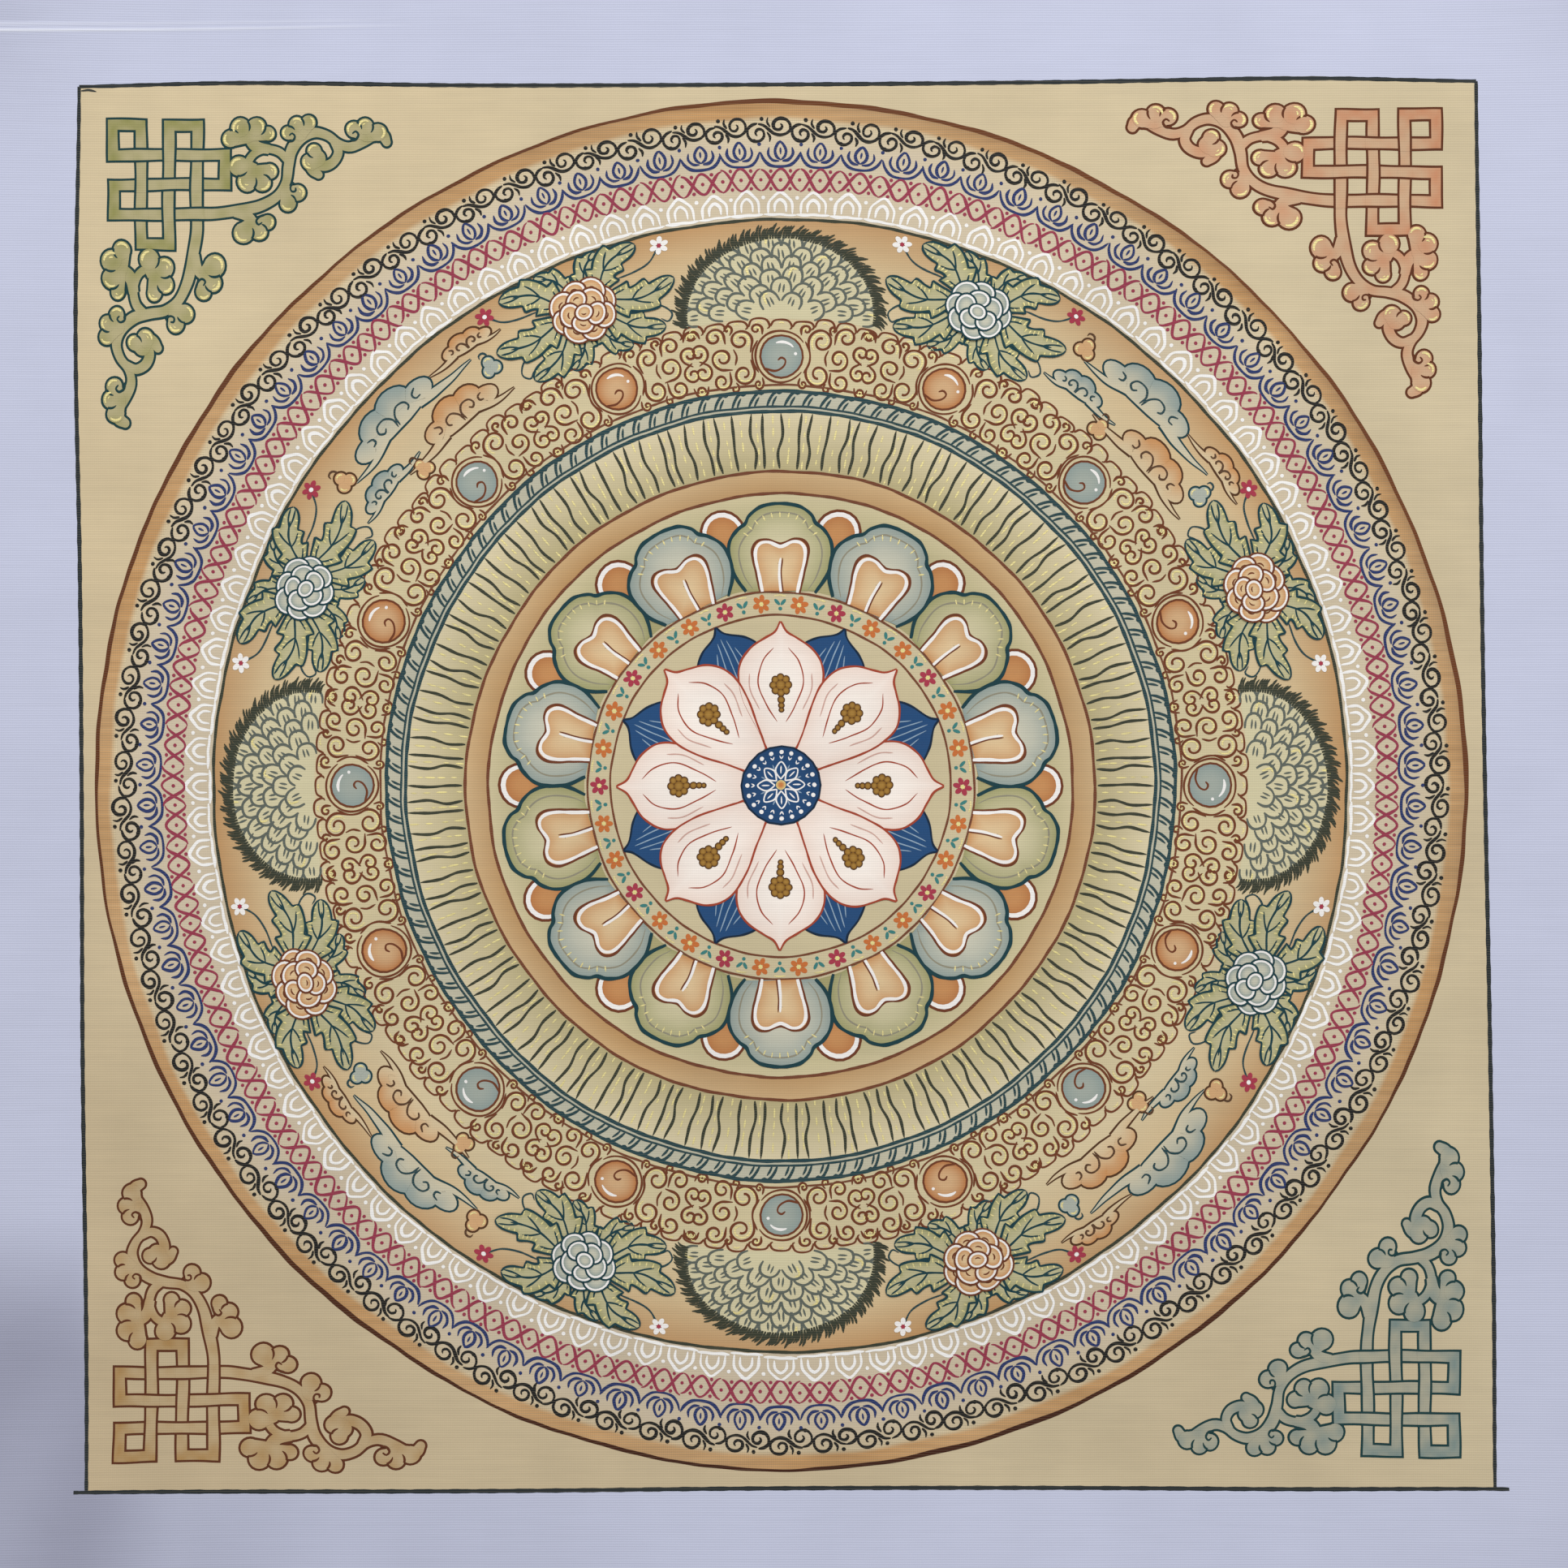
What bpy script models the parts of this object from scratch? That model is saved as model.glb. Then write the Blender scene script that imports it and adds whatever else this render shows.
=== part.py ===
"""The canvas of an unmounted scroll painting: one square of primed cotton, lying face up.

Metres, +Z up, +X to the picture's right and +Y to its top. The origin is under the middle of
the sheet, on the surface that it lies on. A square in the middle lies flat, and round it the
sheet leaves the surface by a millimetre or so at its edges and more at its corners, as a sized
cloth does once it comes off its stretcher.
"""

import math

import bmesh
import bpy

# Driving dimensions
SHEET_SIDE = 0.360  # each side of the cut square, about 30 mm outside the painted field
SHEET_THICKNESS = 0.001  # the cotton with its chalk priming
CELLS_ACROSS = 40  # cells of the sheet's mesh along one side, a whole number on the resting square
REST_SIDE = 0.252  # each side of the square in the middle that lies on the surface
RIM_RISE = 0.0012  # how far the whole edge stands off the surface
RIM_BEND = 1.3  # power of the rise from the resting square to the edge
CUT_STRAY = 0.0011  # how far the scissors stray inwards from the straight side
CUT_SWINGS = {"left": 1.5, "right": 1.0, "bottom": 2.0, "top": 1.5}  # strays along each side

# Where the sheet leaves the surface by more. Each row is a soft swelling, oval from above.
# name, centre x, centre y, half length, half width, degrees turned, rise
SWELLINGS = (
    ("top left corner", -0.186, 0.184, 0.100, 0.075, 35.0, 0.0042),
    ("top right corner", 0.186, 0.186, 0.090, 0.070, -40.0, 0.0028),
    ("bottom left corner", -0.184, -0.186, 0.115, 0.080, -40.0, 0.0046),
    ("bottom right corner", 0.188, -0.184, 0.095, 0.070, 38.0, 0.0030),
    ("top edge", -0.040, 0.188, 0.095, 0.045, 3.0, 0.0016),
    ("bottom edge", 0.055, -0.188, 0.105, 0.048, -4.0, 0.0018),
    ("left edge", -0.188, 0.020, 0.100, 0.046, 92.0, 0.0015),
    ("right edge", 0.188, -0.030, 0.110, 0.050, 87.0, 0.0019),
    ("low rib at the left", -0.095, -0.030, 0.060, 0.026, 70.0, 0.0007),
    ("low rib at the right", 0.092, 0.048, 0.060, 0.026, 64.0, 0.0006),
)

CANVAS_COLOUR = (0.52, 0.55, 0.68, 1.0)


def clear_scene():
    for obj in list(bpy.data.objects):
        bpy.data.objects.remove(obj)


def swelling_rise(x, y, centre_x, centre_y, half_length, half_width, degrees, rise):
    """Height that one swelling gives at a place: its rise in the middle, nothing outside its oval."""
    angle = math.radians(degrees)
    along = (x - centre_x) * math.cos(angle) + (y - centre_y) * math.sin(angle)
    across = (y - centre_y) * math.cos(angle) - (x - centre_x) * math.sin(angle)
    inside = 1.0 - (along / half_length) ** 2 - (across / half_width) ** 2
    return rise * inside**3 if inside > 0.0 else 0.0


def share_outwards(distance):
    """A distance from the middle line as a share: 0 on the resting square, 1 at the sheet's edge."""
    beyond = distance - REST_SIDE / 2.0
    return max(0.0, beyond / ((SHEET_SIDE - REST_SIDE) / 2.0))


def underside_height(x, y):
    """Height of the sheet's underside over the surface that it lies on."""
    rim = RIM_RISE * share_outwards(max(abs(x), abs(y))) ** RIM_BEND
    return rim + sum(swelling_rise(x, y, *row[1:]) for row in SWELLINGS)


def stray(side, share):
    """How far the cut is inside the straight side, at a share of the way along it."""
    return CUT_STRAY * (1.0 - math.cos(2.0 * math.pi * CUT_SWINGS[side] * share)) / 2.0


def place_on_sheet(x, y):
    """The place in plan of a point of the straight square, drawn in where the cut strays."""
    row_share = y / SHEET_SIDE + 0.5
    column_share = x / SHEET_SIDE + 0.5
    drawn_x = stray("left" if x < 0.0 else "right", row_share) * share_outwards(abs(x))
    drawn_y = stray("bottom" if y < 0.0 else "top", column_share) * share_outwards(abs(y))
    return x - math.copysign(drawn_x, x), y - math.copysign(drawn_y, y)


def sheet_mesh(name):
    """The sheet's underside as a grid over the swellings, thickened upwards."""
    mesh = bpy.data.meshes.new(name)
    shape = bmesh.new()
    bmesh.ops.create_grid(
        shape, x_segments=CELLS_ACROSS, y_segments=CELLS_ACROSS, size=SHEET_SIDE / 2.0
    )
    for vert in shape.verts:
        height = underside_height(vert.co.x, vert.co.y)
        x, y = place_on_sheet(vert.co.x, vert.co.y)
        vert.co = (x, y, height)
    shape.to_mesh(mesh)
    shape.free()
    return mesh


def material(name, colour, roughness):
    made = bpy.data.materials.new(name)
    made.use_nodes = True
    shader = made.node_tree.nodes["Principled BSDF"]
    shader.inputs["Base Color"].default_value = colour
    shader.inputs["Roughness"].default_value = roughness
    shader.inputs["Metallic"].default_value = 0.0
    return made


def make_canvas():
    """The one piece of cloth."""
    canvas = bpy.data.objects.new("canvas", sheet_mesh("canvas"))
    bpy.context.scene.collection.objects.link(canvas)
    canvas.data.materials.append(material("primed_canvas", CANVAS_COLOUR, 0.85))
    thicken = canvas.modifiers.new("thickness", "SOLIDIFY")
    thicken.thickness = SHEET_THICKNESS
    thicken.offset = 1.0
    canvas.data.shade_smooth()
    canvas.data.set_sharp_from_angle(angle=math.radians(40.0))
    return canvas


clear_scene()
make_canvas()
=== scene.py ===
"""Looks of an unmounted scroll painting: primed cotton canvas, painted and lying face up.

Drawing places are in millimetres on the sheet's face, measured from its middle: x to the right
and y to the top of the picture. Every patch of paint is a thin piece of mesh that lies on the
canvas. Its points carry a tint: a colour, and how much of the ground under it that colour covers.
"""

import math

import bpy
import numpy as np
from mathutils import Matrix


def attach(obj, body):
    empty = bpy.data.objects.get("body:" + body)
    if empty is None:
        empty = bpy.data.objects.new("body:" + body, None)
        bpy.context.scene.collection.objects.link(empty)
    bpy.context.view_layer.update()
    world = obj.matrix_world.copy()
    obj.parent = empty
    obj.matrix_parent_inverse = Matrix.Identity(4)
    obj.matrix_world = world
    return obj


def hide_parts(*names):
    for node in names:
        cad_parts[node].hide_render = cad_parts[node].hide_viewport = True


bl_info = {
    "name": "Scroll Painting Canvas",
    "version": (1, 0, 0),
    "blender": (4, 5, 0),
    "location": "3D View > Sidebar > Scroll Painting",
    "description": "Cuts, primes and paints the canvas of an unmounted scroll painting",
    "category": "Object",
}

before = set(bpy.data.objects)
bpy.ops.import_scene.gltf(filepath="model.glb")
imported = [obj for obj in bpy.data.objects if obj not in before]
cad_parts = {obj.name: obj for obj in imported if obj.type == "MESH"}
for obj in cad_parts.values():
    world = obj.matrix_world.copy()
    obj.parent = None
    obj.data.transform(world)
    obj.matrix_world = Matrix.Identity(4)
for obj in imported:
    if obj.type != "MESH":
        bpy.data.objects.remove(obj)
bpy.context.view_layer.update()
MM = 0.001

# The sheet, as in the part's source: millimetres, and degrees for the turn
SHEET_SIDE = 360.0
SHEET_THICKNESS = 1.0
REST_SIDE = 252.0
RIM_RISE = 1.2
RIM_BEND = 1.3
RIM_EASE = 9.0
CUT_STRAY = 1.1
CUT_SWINGS = {"left": 1.5, "right": 1.0, "bottom": 2.0, "top": 1.5}
# name, centre x, centre y, half length, half width, degrees turned, rise
SWELLINGS = (
    ("top left corner", -186.0, 184.0, 100.0, 75.0, 35.0, 4.2),
    ("top right corner", 186.0, 186.0, 90.0, 70.0, -40.0, 2.8),
    ("bottom left corner", -184.0, -186.0, 115.0, 80.0, -40.0, 4.6),
    ("bottom right corner", 188.0, -184.0, 95.0, 70.0, 38.0, 3.0),
    ("top edge", -40.0, 188.0, 95.0, 45.0, 3.0, 1.6),
    ("bottom edge", 55.0, -188.0, 105.0, 48.0, -4.0, 1.8),
    ("left edge", -188.0, 20.0, 100.0, 46.0, 92.0, 1.5),
    ("right edge", 188.0, -30.0, 110.0, 50.0, 87.0, 1.9),
    ("low rib at the left", -95.0, -30.0, 60.0, 26.0, 70.0, 0.7),
    ("low rib at the right", 92.0, 48.0, 60.0, 26.0, 64.0, 0.6),
)
CREASE = ((-180.0, 159.9), (-93.0, 161.6), 0.16)  # from, to, height of the fine fold at the top left

# The dark line round the painted field, as it was drawn: places along it, corner to corner
FIELD_LEFT = (
    (-150.2, 148.6), (-151.2, 98.3), (-150.3, 46.2), (-149.9, 0.0), (-149.7, -58.0), (-149.0, -110.0),
    (-148.6, -150.9),
)
FIELD_RIGHT = (
    (147.6, 149.9), (148.4, 98.3), (148.9, 46.2), (149.6, 0.0), (150.7, -58.0), (151.5, -110.0),
    (151.6, -150.3),
)
FIELD_TOP = (
    (-150.2, 148.6), (-115.6, 149.6), (-63.5, 149.1), (0.0, 149.3), (58.0, 149.8), (110.1, 150.6),
    (147.6, 149.9),
)
FIELD_BOTTOM = (
    (-148.6, -150.9), (-115.6, -151.0), (-63.5, -150.9), (0.0, -150.3), (58.0, -150.2), (110.1, -150.5),
    (151.6, -150.3),
)
EDGE_PAST = 1.7, 1.0  # how far the lower line runs past the left and the right corner
EDGE_SLIP = ((-149.8, 147.7), (-148.2, 147.9), (-146.6, 147.6))  # a second stroke at the top left
SLIP_WIDTH = 0.5
ROUND_MIDDLE = (-0.7, -0.35)  # middle of the circle and of the disc
CIRCLE_RADIUS = 146.1
DISC_RADIUS = 121.0


def linear(code, cover=1.0):
    """The tint of a six-digit screen colour."""
    parts = [int(code[at : at + 2], 16) / 255.0 for at in (0, 2, 4)]
    return tuple(p / 12.92 if p < 0.04045 else ((p + 0.055) / 1.055) ** 2.4 for p in parts) + (cover,)


# ---------------------------------------------------------------- settings


def colour(name, code, about):
    return bpy.props.FloatVectorProperty(
        name=name, description=about, subtype="COLOR", size=4, min=0.0, max=1.0, default=linear(code)
    )


def length(name, size, about):
    return bpy.props.FloatProperty(
        name=name, description=about, default=size, min=0.0, subtype="DISTANCE", unit="LENGTH"
    )


class CanvasSettings(bpy.types.PropertyGroup):
    rib: length("Rib", 0.000517, "Distance from one rib of the cotton to the next")
    priming: colour("Priming", "c8cce2", "Chalk priming on the bare margin")
    raw: colour("Raw cotton", "cdc4b2", "Unprimed cotton on the underside")
    # handling marks at the corners of the margin, and painted shade at its bottom left
    soil_and_shade: colour("Soil", "8f90a4", "Handling marks at the corners of the margin")


class FieldSettings(bpy.types.PropertyGroup):
    ground: colour("Ground", "cfc09f", "Thin tan colour of the painted field")
    edge: colour("Edge line", "20282c", "Line round the painted field")
    edge_width: length("Edge line width", 0.00088, "Width of the line round the field")
    wash: colour("Wash", "c0925f", "Ochre wash inside the circle")
    circle: colour("Circle line", "6b3918", "Brown line of the circle")
    circle_width: length("Circle line width", 0.00082, "Width of the circle's line")


class CornerSettings(bpy.types.PropertyGroup):
    olive: colour("Top left", "8f8d52", "Deepest colour of the top left knot")
    salmon: colour("Top right", "c88a66", "Deepest colour of the top right knot")
    honey: colour("Bottom left", "ad8753", "Deepest colour of the bottom left knot")
    slate: colour("Bottom right", "7b8d89", "Deepest colour of the bottom right knot")
    teal_line: colour("Teal line", "1b3e40", "Line of the olive and slate knots")
    brown_line: colour("Brown line", "60331d", "Line of the salmon and honey knots")
    strand: length("Strand", 0.0021, "Width of the knots' strands")
    line: length("Line", 0.00049, "Width of the knots' lines")


class RowSettings(bpy.types.PropertyGroup):
    black: colour("Outer row", "101214", "Ink of the first row")
    blue: colour("Second row", "1c3066", "Ink of the second row")
    red: colour("Third row", "96304a", "Ink of the third row")
    white: colour("Inner row", "f6f4f1", "White of the inner row")
    line: length("Line", 0.00063, "Width of the rows' brush lines")


class DiscSettings(bpy.types.PropertyGroup):
    white: colour("White", "f4f0ec", "Pale rims, small flowers and lights")
    gold: colour("Gold", "e6d891", "Pale gold strokes")
    cream: colour("Cream", "faf1e8", "Petals of the rosette")
    blush: colour("Blush", "f1dccf", "Rims of the rosette's petals")
    blue: colour("Blue", "254c79", "Roundel and back petals")
    night: colour("Night blue", "12283f", "Line round the blue parts")
    pale_blue: colour("Pale blue", "8fa6b9", "Hatching on the blue parts")
    pale_slate: colour("Pale slate", "cdcab6", "Hearts of the slate petals, stones and clouds")
    slate: colour("Slate", "8f9d98", "Rims of the slate petals, stones and clouds")
    pale_sage: colour("Pale sage", "d3caa5", "Hearts of the sage petals and leaves")
    sage: colour("Sage", "9d9b6b", "Rims of the sage petals and leaves")
    pale_ochre: colour("Pale ochre", "e0c499", "Hearts of the tongues, blossoms and clouds")
    ochre: colour("Ochre", "c8905c", "Rims of the tongues, blossoms and clouds")
    clay: colour("Clay", "b97a49", "Orange stones and small round petals")
    orange: colour("Orange", "c8713a", "Two florets of each three")
    crimson: colour("Crimson", "a83a4c", "Small red flowers")
    verdigris: colour("Verdigris", "3f7f7c", "Leaves between the florets")
    bronze: colour("Bronze", "a9803c", "Beads")
    deep_bronze: colour("Deep bronze", "80581f", "Rims of the beads")
    teal_line: colour("Teal line", "1b3f46", "Line of the leaves and the slate and sage parts")
    brown_line: colour("Brown line", "703c24", "Line of the scrolls and the ochre parts")
    umber: colour("Umber", "53351f", "Line of the ochre clouds and the beads")
    red_line: colour("Red line", "a4452f", "Line of the rosette's petals")
    dark_line: colour("Dark line", "32372a", "Rays, tufts and the disc's edge")
    line: length("Line", 0.00044, "Usual width of the disc's brush lines")


class StageSettings(bpy.types.PropertyGroup):
    camera_height: length("Camera height", 0.66, "Height of the camera over the sheet")
    seen: length("Seen width", 0.3354, "Width of the sheet that the camera takes in")
    floor: colour("Floor", "e4e2de", "Plain pale floor")
    key: bpy.props.FloatProperty(
        name="Key light", description="Power of the soft light", default=16.0, min=0.0, subtype="POWER"
    )


SETTINGS = {
    "painting_canvas": CanvasSettings,
    "painting_field": FieldSettings,
    "painting_corners": CornerSettings,
    "painting_rows": RowSettings,
    "painting_disc": DiscSettings,
    "painting_stage": StageSettings,
}


# ---------------------------------------------------------------- the sheet's shape


def share_outwards(distance):
    """A distance from the middle line as a share: 0 on the resting square, 1 at the sheet's edge."""
    return np.clip((distance - REST_SIDE / 2.0) / ((SHEET_SIDE - REST_SIDE) / 2.0), 0.0, None)


def sheet_rise(x, y):
    """Height of the sheet's underside over the surface, with the rim's corner eased."""
    outwards = (abs(x) ** RIM_EASE + abs(y) ** RIM_EASE) ** (1.0 / RIM_EASE)
    rise = RIM_RISE * share_outwards(outwards) ** RIM_BEND
    for _, centre_x, centre_y, half_length, half_width, degrees, height in SWELLINGS:
        angle = math.radians(degrees)
        along = (x - centre_x) * math.cos(angle) + (y - centre_y) * math.sin(angle)
        across = (y - centre_y) * math.cos(angle) - (x - centre_x) * math.sin(angle)
        inside = 1.0 - (along / half_length) ** 2 - (across / half_width) ** 2
        rise = rise + height * np.clip(inside, 0.0, None) ** 3
    return rise


def crease_rise(x, y):
    """Height of the fine fold near the top left corner, fading out to the right."""
    (x0, y0), (x1, y1), height = CREASE
    share = (x - x0) / (x1 - x0)
    off = y - (y0 + (y1 - y0) * share)
    main = np.exp(-((off / 0.30) ** 2))
    second = 0.35 * np.exp(-(((off - 1.3) / 0.35) ** 2))
    return height * (main + second) * np.clip(1.15 - share, 0.0, 1.0) ** 0.7


def stray(side, share):
    """How far the cut is inside the straight side, at a share of the way along it."""
    return CUT_STRAY * (1.0 - np.cos(2.0 * math.pi * CUT_SWINGS[side] * share)) / 2.0


def place_on_sheet(x, y):
    """The place in plan of a point of the straight square, drawn in where the cut strays."""
    row, column = y / SHEET_SIDE + 0.5, x / SHEET_SIDE + 0.5
    drawn_x = np.where(x < 0.0, stray("left", row), stray("right", row)) * share_outwards(abs(x))
    drawn_y = np.where(y < 0.0, stray("bottom", column), stray("top", column)) * share_outwards(abs(y))
    return x - np.sign(x) * drawn_x, y - np.sign(y) * drawn_y


# ---------------------------------------------------------------- brushwork

# A lift is a height over the canvas's face in millimetres: the higher paint hides the lower
SPIRAL_STEP = 14.0  # degrees from one place of a spiral to the next
ARC_STEP = 12.0  # degrees from one place of an arc to the next
PATCH_STEP = 0.0003  # each patch lies this much higher than the one before, so that none coincide
PATCH_STEPS = 13  # after this many it starts again
FAN_RINGS = (0.2, 0.5, 0.75, 0.92, 1.0)  # the mesh's rings, as shares of the way to the rim


def unsteady(places):
    """Moves places by the slow wander of a hand, up to about a third of a millimetre."""
    x, y = places[:, 0], places[:, 1]
    off_x = 0.15 * np.sin(0.131 * x + 0.067 * y + 1.3) + 0.09 * np.sin(0.31 * y - 0.19 * x + 4.0)
    off_y = 0.15 * np.sin(0.117 * y - 0.083 * x + 2.1) + 0.09 * np.sin(0.27 * x + 0.23 * y + 0.6)
    off_x += 0.045 * np.sin(0.9 * x + 0.55 * y + 5.0)
    off_y += 0.045 * np.sin(0.8 * y - 0.61 * x + 3.2)
    return places + np.stack([off_x, off_y], axis=1)


def smooth_path(points, step=0.5, closed=False):
    """Places every step or so along a smooth curve through the given ones."""
    p = np.asarray(points, float)
    if closed:
        p = np.vstack([p[-1], p, p[0], p[1]])
    else:
        p = np.vstack([2.0 * p[0] - p[1], p, 2.0 * p[-1] - p[-2]])
    curve = []
    for a, b, c, d in zip(p[:-3], p[1:-2], p[2:-1], p[3:]):
        count = max(3, int(math.dist(b, c) / step * 2.0))
        t = np.linspace(0.0, 1.0, count, endpoint=False)[:, None]
        bend = 2.0 * b + (c - a) * t + (2.0 * a - 5.0 * b + 4.0 * c - d) * t**2
        curve.append(0.5 * (bend + (3.0 * b - a - 3.0 * c + d) * t**3))
    return even_path(np.vstack(curve + [p[-2:-1]]), step)


def even_path(curve, step):
    """The same line with its places evenly apart."""
    run = np.concatenate([[0.0], np.cumsum(np.linalg.norm(np.diff(curve, axis=0), axis=1))])
    want = np.linspace(0.0, run[-1], max(3, int(round(run[-1] / step)) + 1))
    return np.stack([np.interp(want, run, curve[:, 0]), np.interp(want, run, curve[:, 1])], axis=1)


def sideways(path):
    """The direction to the left of a path at each of its places."""
    ahead = np.gradient(path, axis=0)
    ahead /= np.maximum(np.linalg.norm(ahead, axis=1, keepdims=True), 1e-9)
    return np.stack([-ahead[:, 1], ahead[:, 0]], axis=1)


def round_about(centre, reach, angle):
    """Places at distances from a centre, in directions given in radians."""
    return np.stack([centre[0] + reach * np.cos(angle), centre[1] + reach * np.sin(angle)], axis=-1)


def spiral(centre, radius, start, turns):
    """Places that wind in to a quarter of the radius, clockwise if the turns are negative."""
    share = np.linspace(0.0, 1.0, max(6, int(abs(turns) * 360.0 / SPIRAL_STEP)))
    angle = np.radians(start + 360.0 * turns * share)
    return round_about(centre, radius * (1.0 - 0.75 * share), angle)


def arc(centre, radius, start, end):
    """Places along an arc between two angles in degrees."""
    angle = np.radians(np.linspace(start, end, max(4, int(abs(end - start) / ARC_STEP) + 1)))
    return round_about(centre, radius, angle)


def blend(first, second, share):
    """Tints between two, for a share or for many."""
    share = np.clip(np.asarray(share, float), 0.0, 1.0)[..., None]
    return np.asarray(first) * (1.0 - share) + np.asarray(second) * share


def covering(tint, cover):
    """The same colour with another cover."""
    return tuple(tint[:3]) + (cover,)


def on_spoke(degrees, start):
    """Places a drawing on a spoke of the disc: x across it and y outwards from a start radius."""
    angle = math.radians(degrees)
    out = np.array([math.cos(angle), math.sin(angle)])
    side = np.array([out[1], -out[0]])

    def place(p):
        return np.asarray(ROUND_MIDDLE) + p[:, :1] * side + (p[:, 1:] + start) * out

    return place


def on_ring(degrees, radius):
    """Places a drawing on a ring of the disc: x runs along the ring, clockwise, and y outwards."""

    def place(p):
        return round_about(ROUND_MIDDLE, radius + p[:, 1], math.radians(degrees) - p[:, 0] / radius)

    return place


def around(art, count, where, radius, first=0.0):
    """Goes round the disc: each turn's number, and the work on its spoke or its place on a ring."""
    for turn in range(count):
        yield turn, art.at(where(first + turn * 360.0 / count, radius))


def grid_faces(index):
    """The faces between the points of a grid, from the points' numbers."""
    corners = (index[:-1, :-1], index[:-1, 1:], index[1:, 1:], index[1:, :-1])
    return np.stack([corner.ravel() for corner in corners], axis=1)


class Brushwork:
    """Patches of paint, gathered to be made into one piece."""

    def __init__(self, patches=None, place=None):
        self.patches = [] if patches is None else patches
        self.place = place

    def at(self, place):
        """The same work, drawn through a function that says where a drawing's places lie."""
        outer = self.place
        return Brushwork(self.patches, place if outer is None else lambda p: outer(place(p)))

    def patch(self, places, lifts, tints, faces):
        """Adds points and the faces between them. The tint may be a function of the drawing's places."""
        places = np.asarray(places, float)
        tints = tints(places) if callable(tints) else tints
        if self.place is not None:
            places = self.place(places)
        count = len(places)
        lifts = np.broadcast_to(np.asarray(lifts, float), (count,))
        tints = np.broadcast_to(np.asarray(tints, float), (count, 4))
        order = PATCH_STEP * (len(self.patches) % PATCH_STEPS)
        self.patches.append((places, lifts + order, tints, faces))

    def weave_rows(self, rows, lifts, tints, closed=False, cap=False):
        """A patch from rows of places, all of the same number, each joined to the next.

        A closed one joins its last row to its first, and a cap closes the hole within the rows' starts.
        """
        rows = np.asarray(rows, float)
        down, over = rows.shape[:2]
        index = np.arange(down * over).reshape(down, over)
        if closed:
            index = np.vstack([index, index[:1]])
        faces = grid_faces(index)
        if cap:
            hole = index[:down, 0]
            across = [hole[[n, n + 1, -n - 2, -n - 1]] for n in range(down // 2 - 1)]
            faces = np.vstack([faces, across])
        lifts = np.broadcast_to(lifts, (down, over)).ravel()
        if not callable(tints):
            tints = np.broadcast_to(tints, (down, over, 4)).reshape(-1, 4)
        self.patch(rows.reshape(-1, 2), lifts, tints, faces)

    def band(self, path, half_width, lift, tint, across=3, crown=0.0):
        """A strip along a path."""
        half_width = np.broadcast_to(half_width, (len(path),))
        over = np.linspace(-1.0, 1.0, across)
        rows = path[:, None, :] + sideways(path)[:, None, :] * (half_width[:, None] * over)[..., None]
        self.weave_rows(rows, lift + crown * (1.0 - over**2), tint)

    def line(self, path, width, tint, lift, ends=(0.45, 0.3), smooth=True, step=0.5):
        """A brush line, pressed a little harder in some places and lifted off at its ends."""
        path = smooth_path(path, step) if smooth else even_path(np.asarray(path, float), step)
        run = np.linspace(0.0, len(path) * step, len(path))
        press = 1.0 + 0.10 * np.sin(run * 0.9 + path[0, 0] * 1.7) + 0.06 * np.sin(run * 2.3 + path[0, 1])
        taper = max(2.2 * width, 0.12 * run[-1])
        for end, away in zip(ends, (run, run[-1] - run)):
            press = press * (end + (1.0 - end) * np.clip(away / taper, 0.0, 1.0) ** 0.6)
        self.band(path, width * press / 2.0, lift, tint, crown=0.006)

    def fan(self, outline, middle, lift, heart, rim):
        """Colour inside a closed outline that all of its middle can see, shaded from there to the rim."""
        outline = np.asarray(outline, float)[: len(outline) // 2 * 2]
        shares, middle = np.asarray(FAN_RINGS), np.asarray(middle)
        rows = middle + (outline - middle)[:, None, :] * shares[:, None]
        tints = blend(heart, rim, np.broadcast_to(shares**2, rows.shape[:2]))
        self.weave_rows(rows, lift, tints, closed=True, cap=True)

    def dab(self, centre, radius, tint, lift, rim=None, across=None, turn=0.0):
        """A round or oval touch of the brush, shaded from its middle to its rim."""
        angle = np.linspace(0.0, 2.0 * math.pi, 10 if radius < 0.6 else 20, endpoint=False)
        tall = radius if across is None else across
        edge = np.stack([radius * np.cos(angle), tall * np.sin(angle)], axis=1)
        rings = (0.4, 1.0) if rim is None else (0.3, 0.6, 0.85, 1.0)
        cos, sin = math.cos(math.radians(turn)), math.sin(math.radians(turn))
        edge = edge @ np.array([[cos, sin], [-sin, cos]])
        rows = np.stack([np.asarray(centre) + edge * ring for ring in rings], axis=1)
        shares = np.asarray(rings) ** 2
        tints = tint if rim is None else blend(tint, rim, np.broadcast_to(shares, rows.shape[:2]))
        self.weave_rows(rows, lift + 0.003 * (1.0 - shares), tints, closed=True, cap=True)

    def circle_line(self, radius, width, tint, lift):
        """A closed brush line round the disc's middle."""
        angle = np.linspace(0.0, 2.0 * math.pi, max(24, int(radius * 6.3 / 4.0)), endpoint=False)
        path = smooth_path(round_about(ROUND_MIDDLE, radius, angle), 0.8, closed=True)
        self.line(np.vstack([path, path[:1]]), width, tint, lift, (1.0, 1.0), smooth=False, step=0.8)

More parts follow.
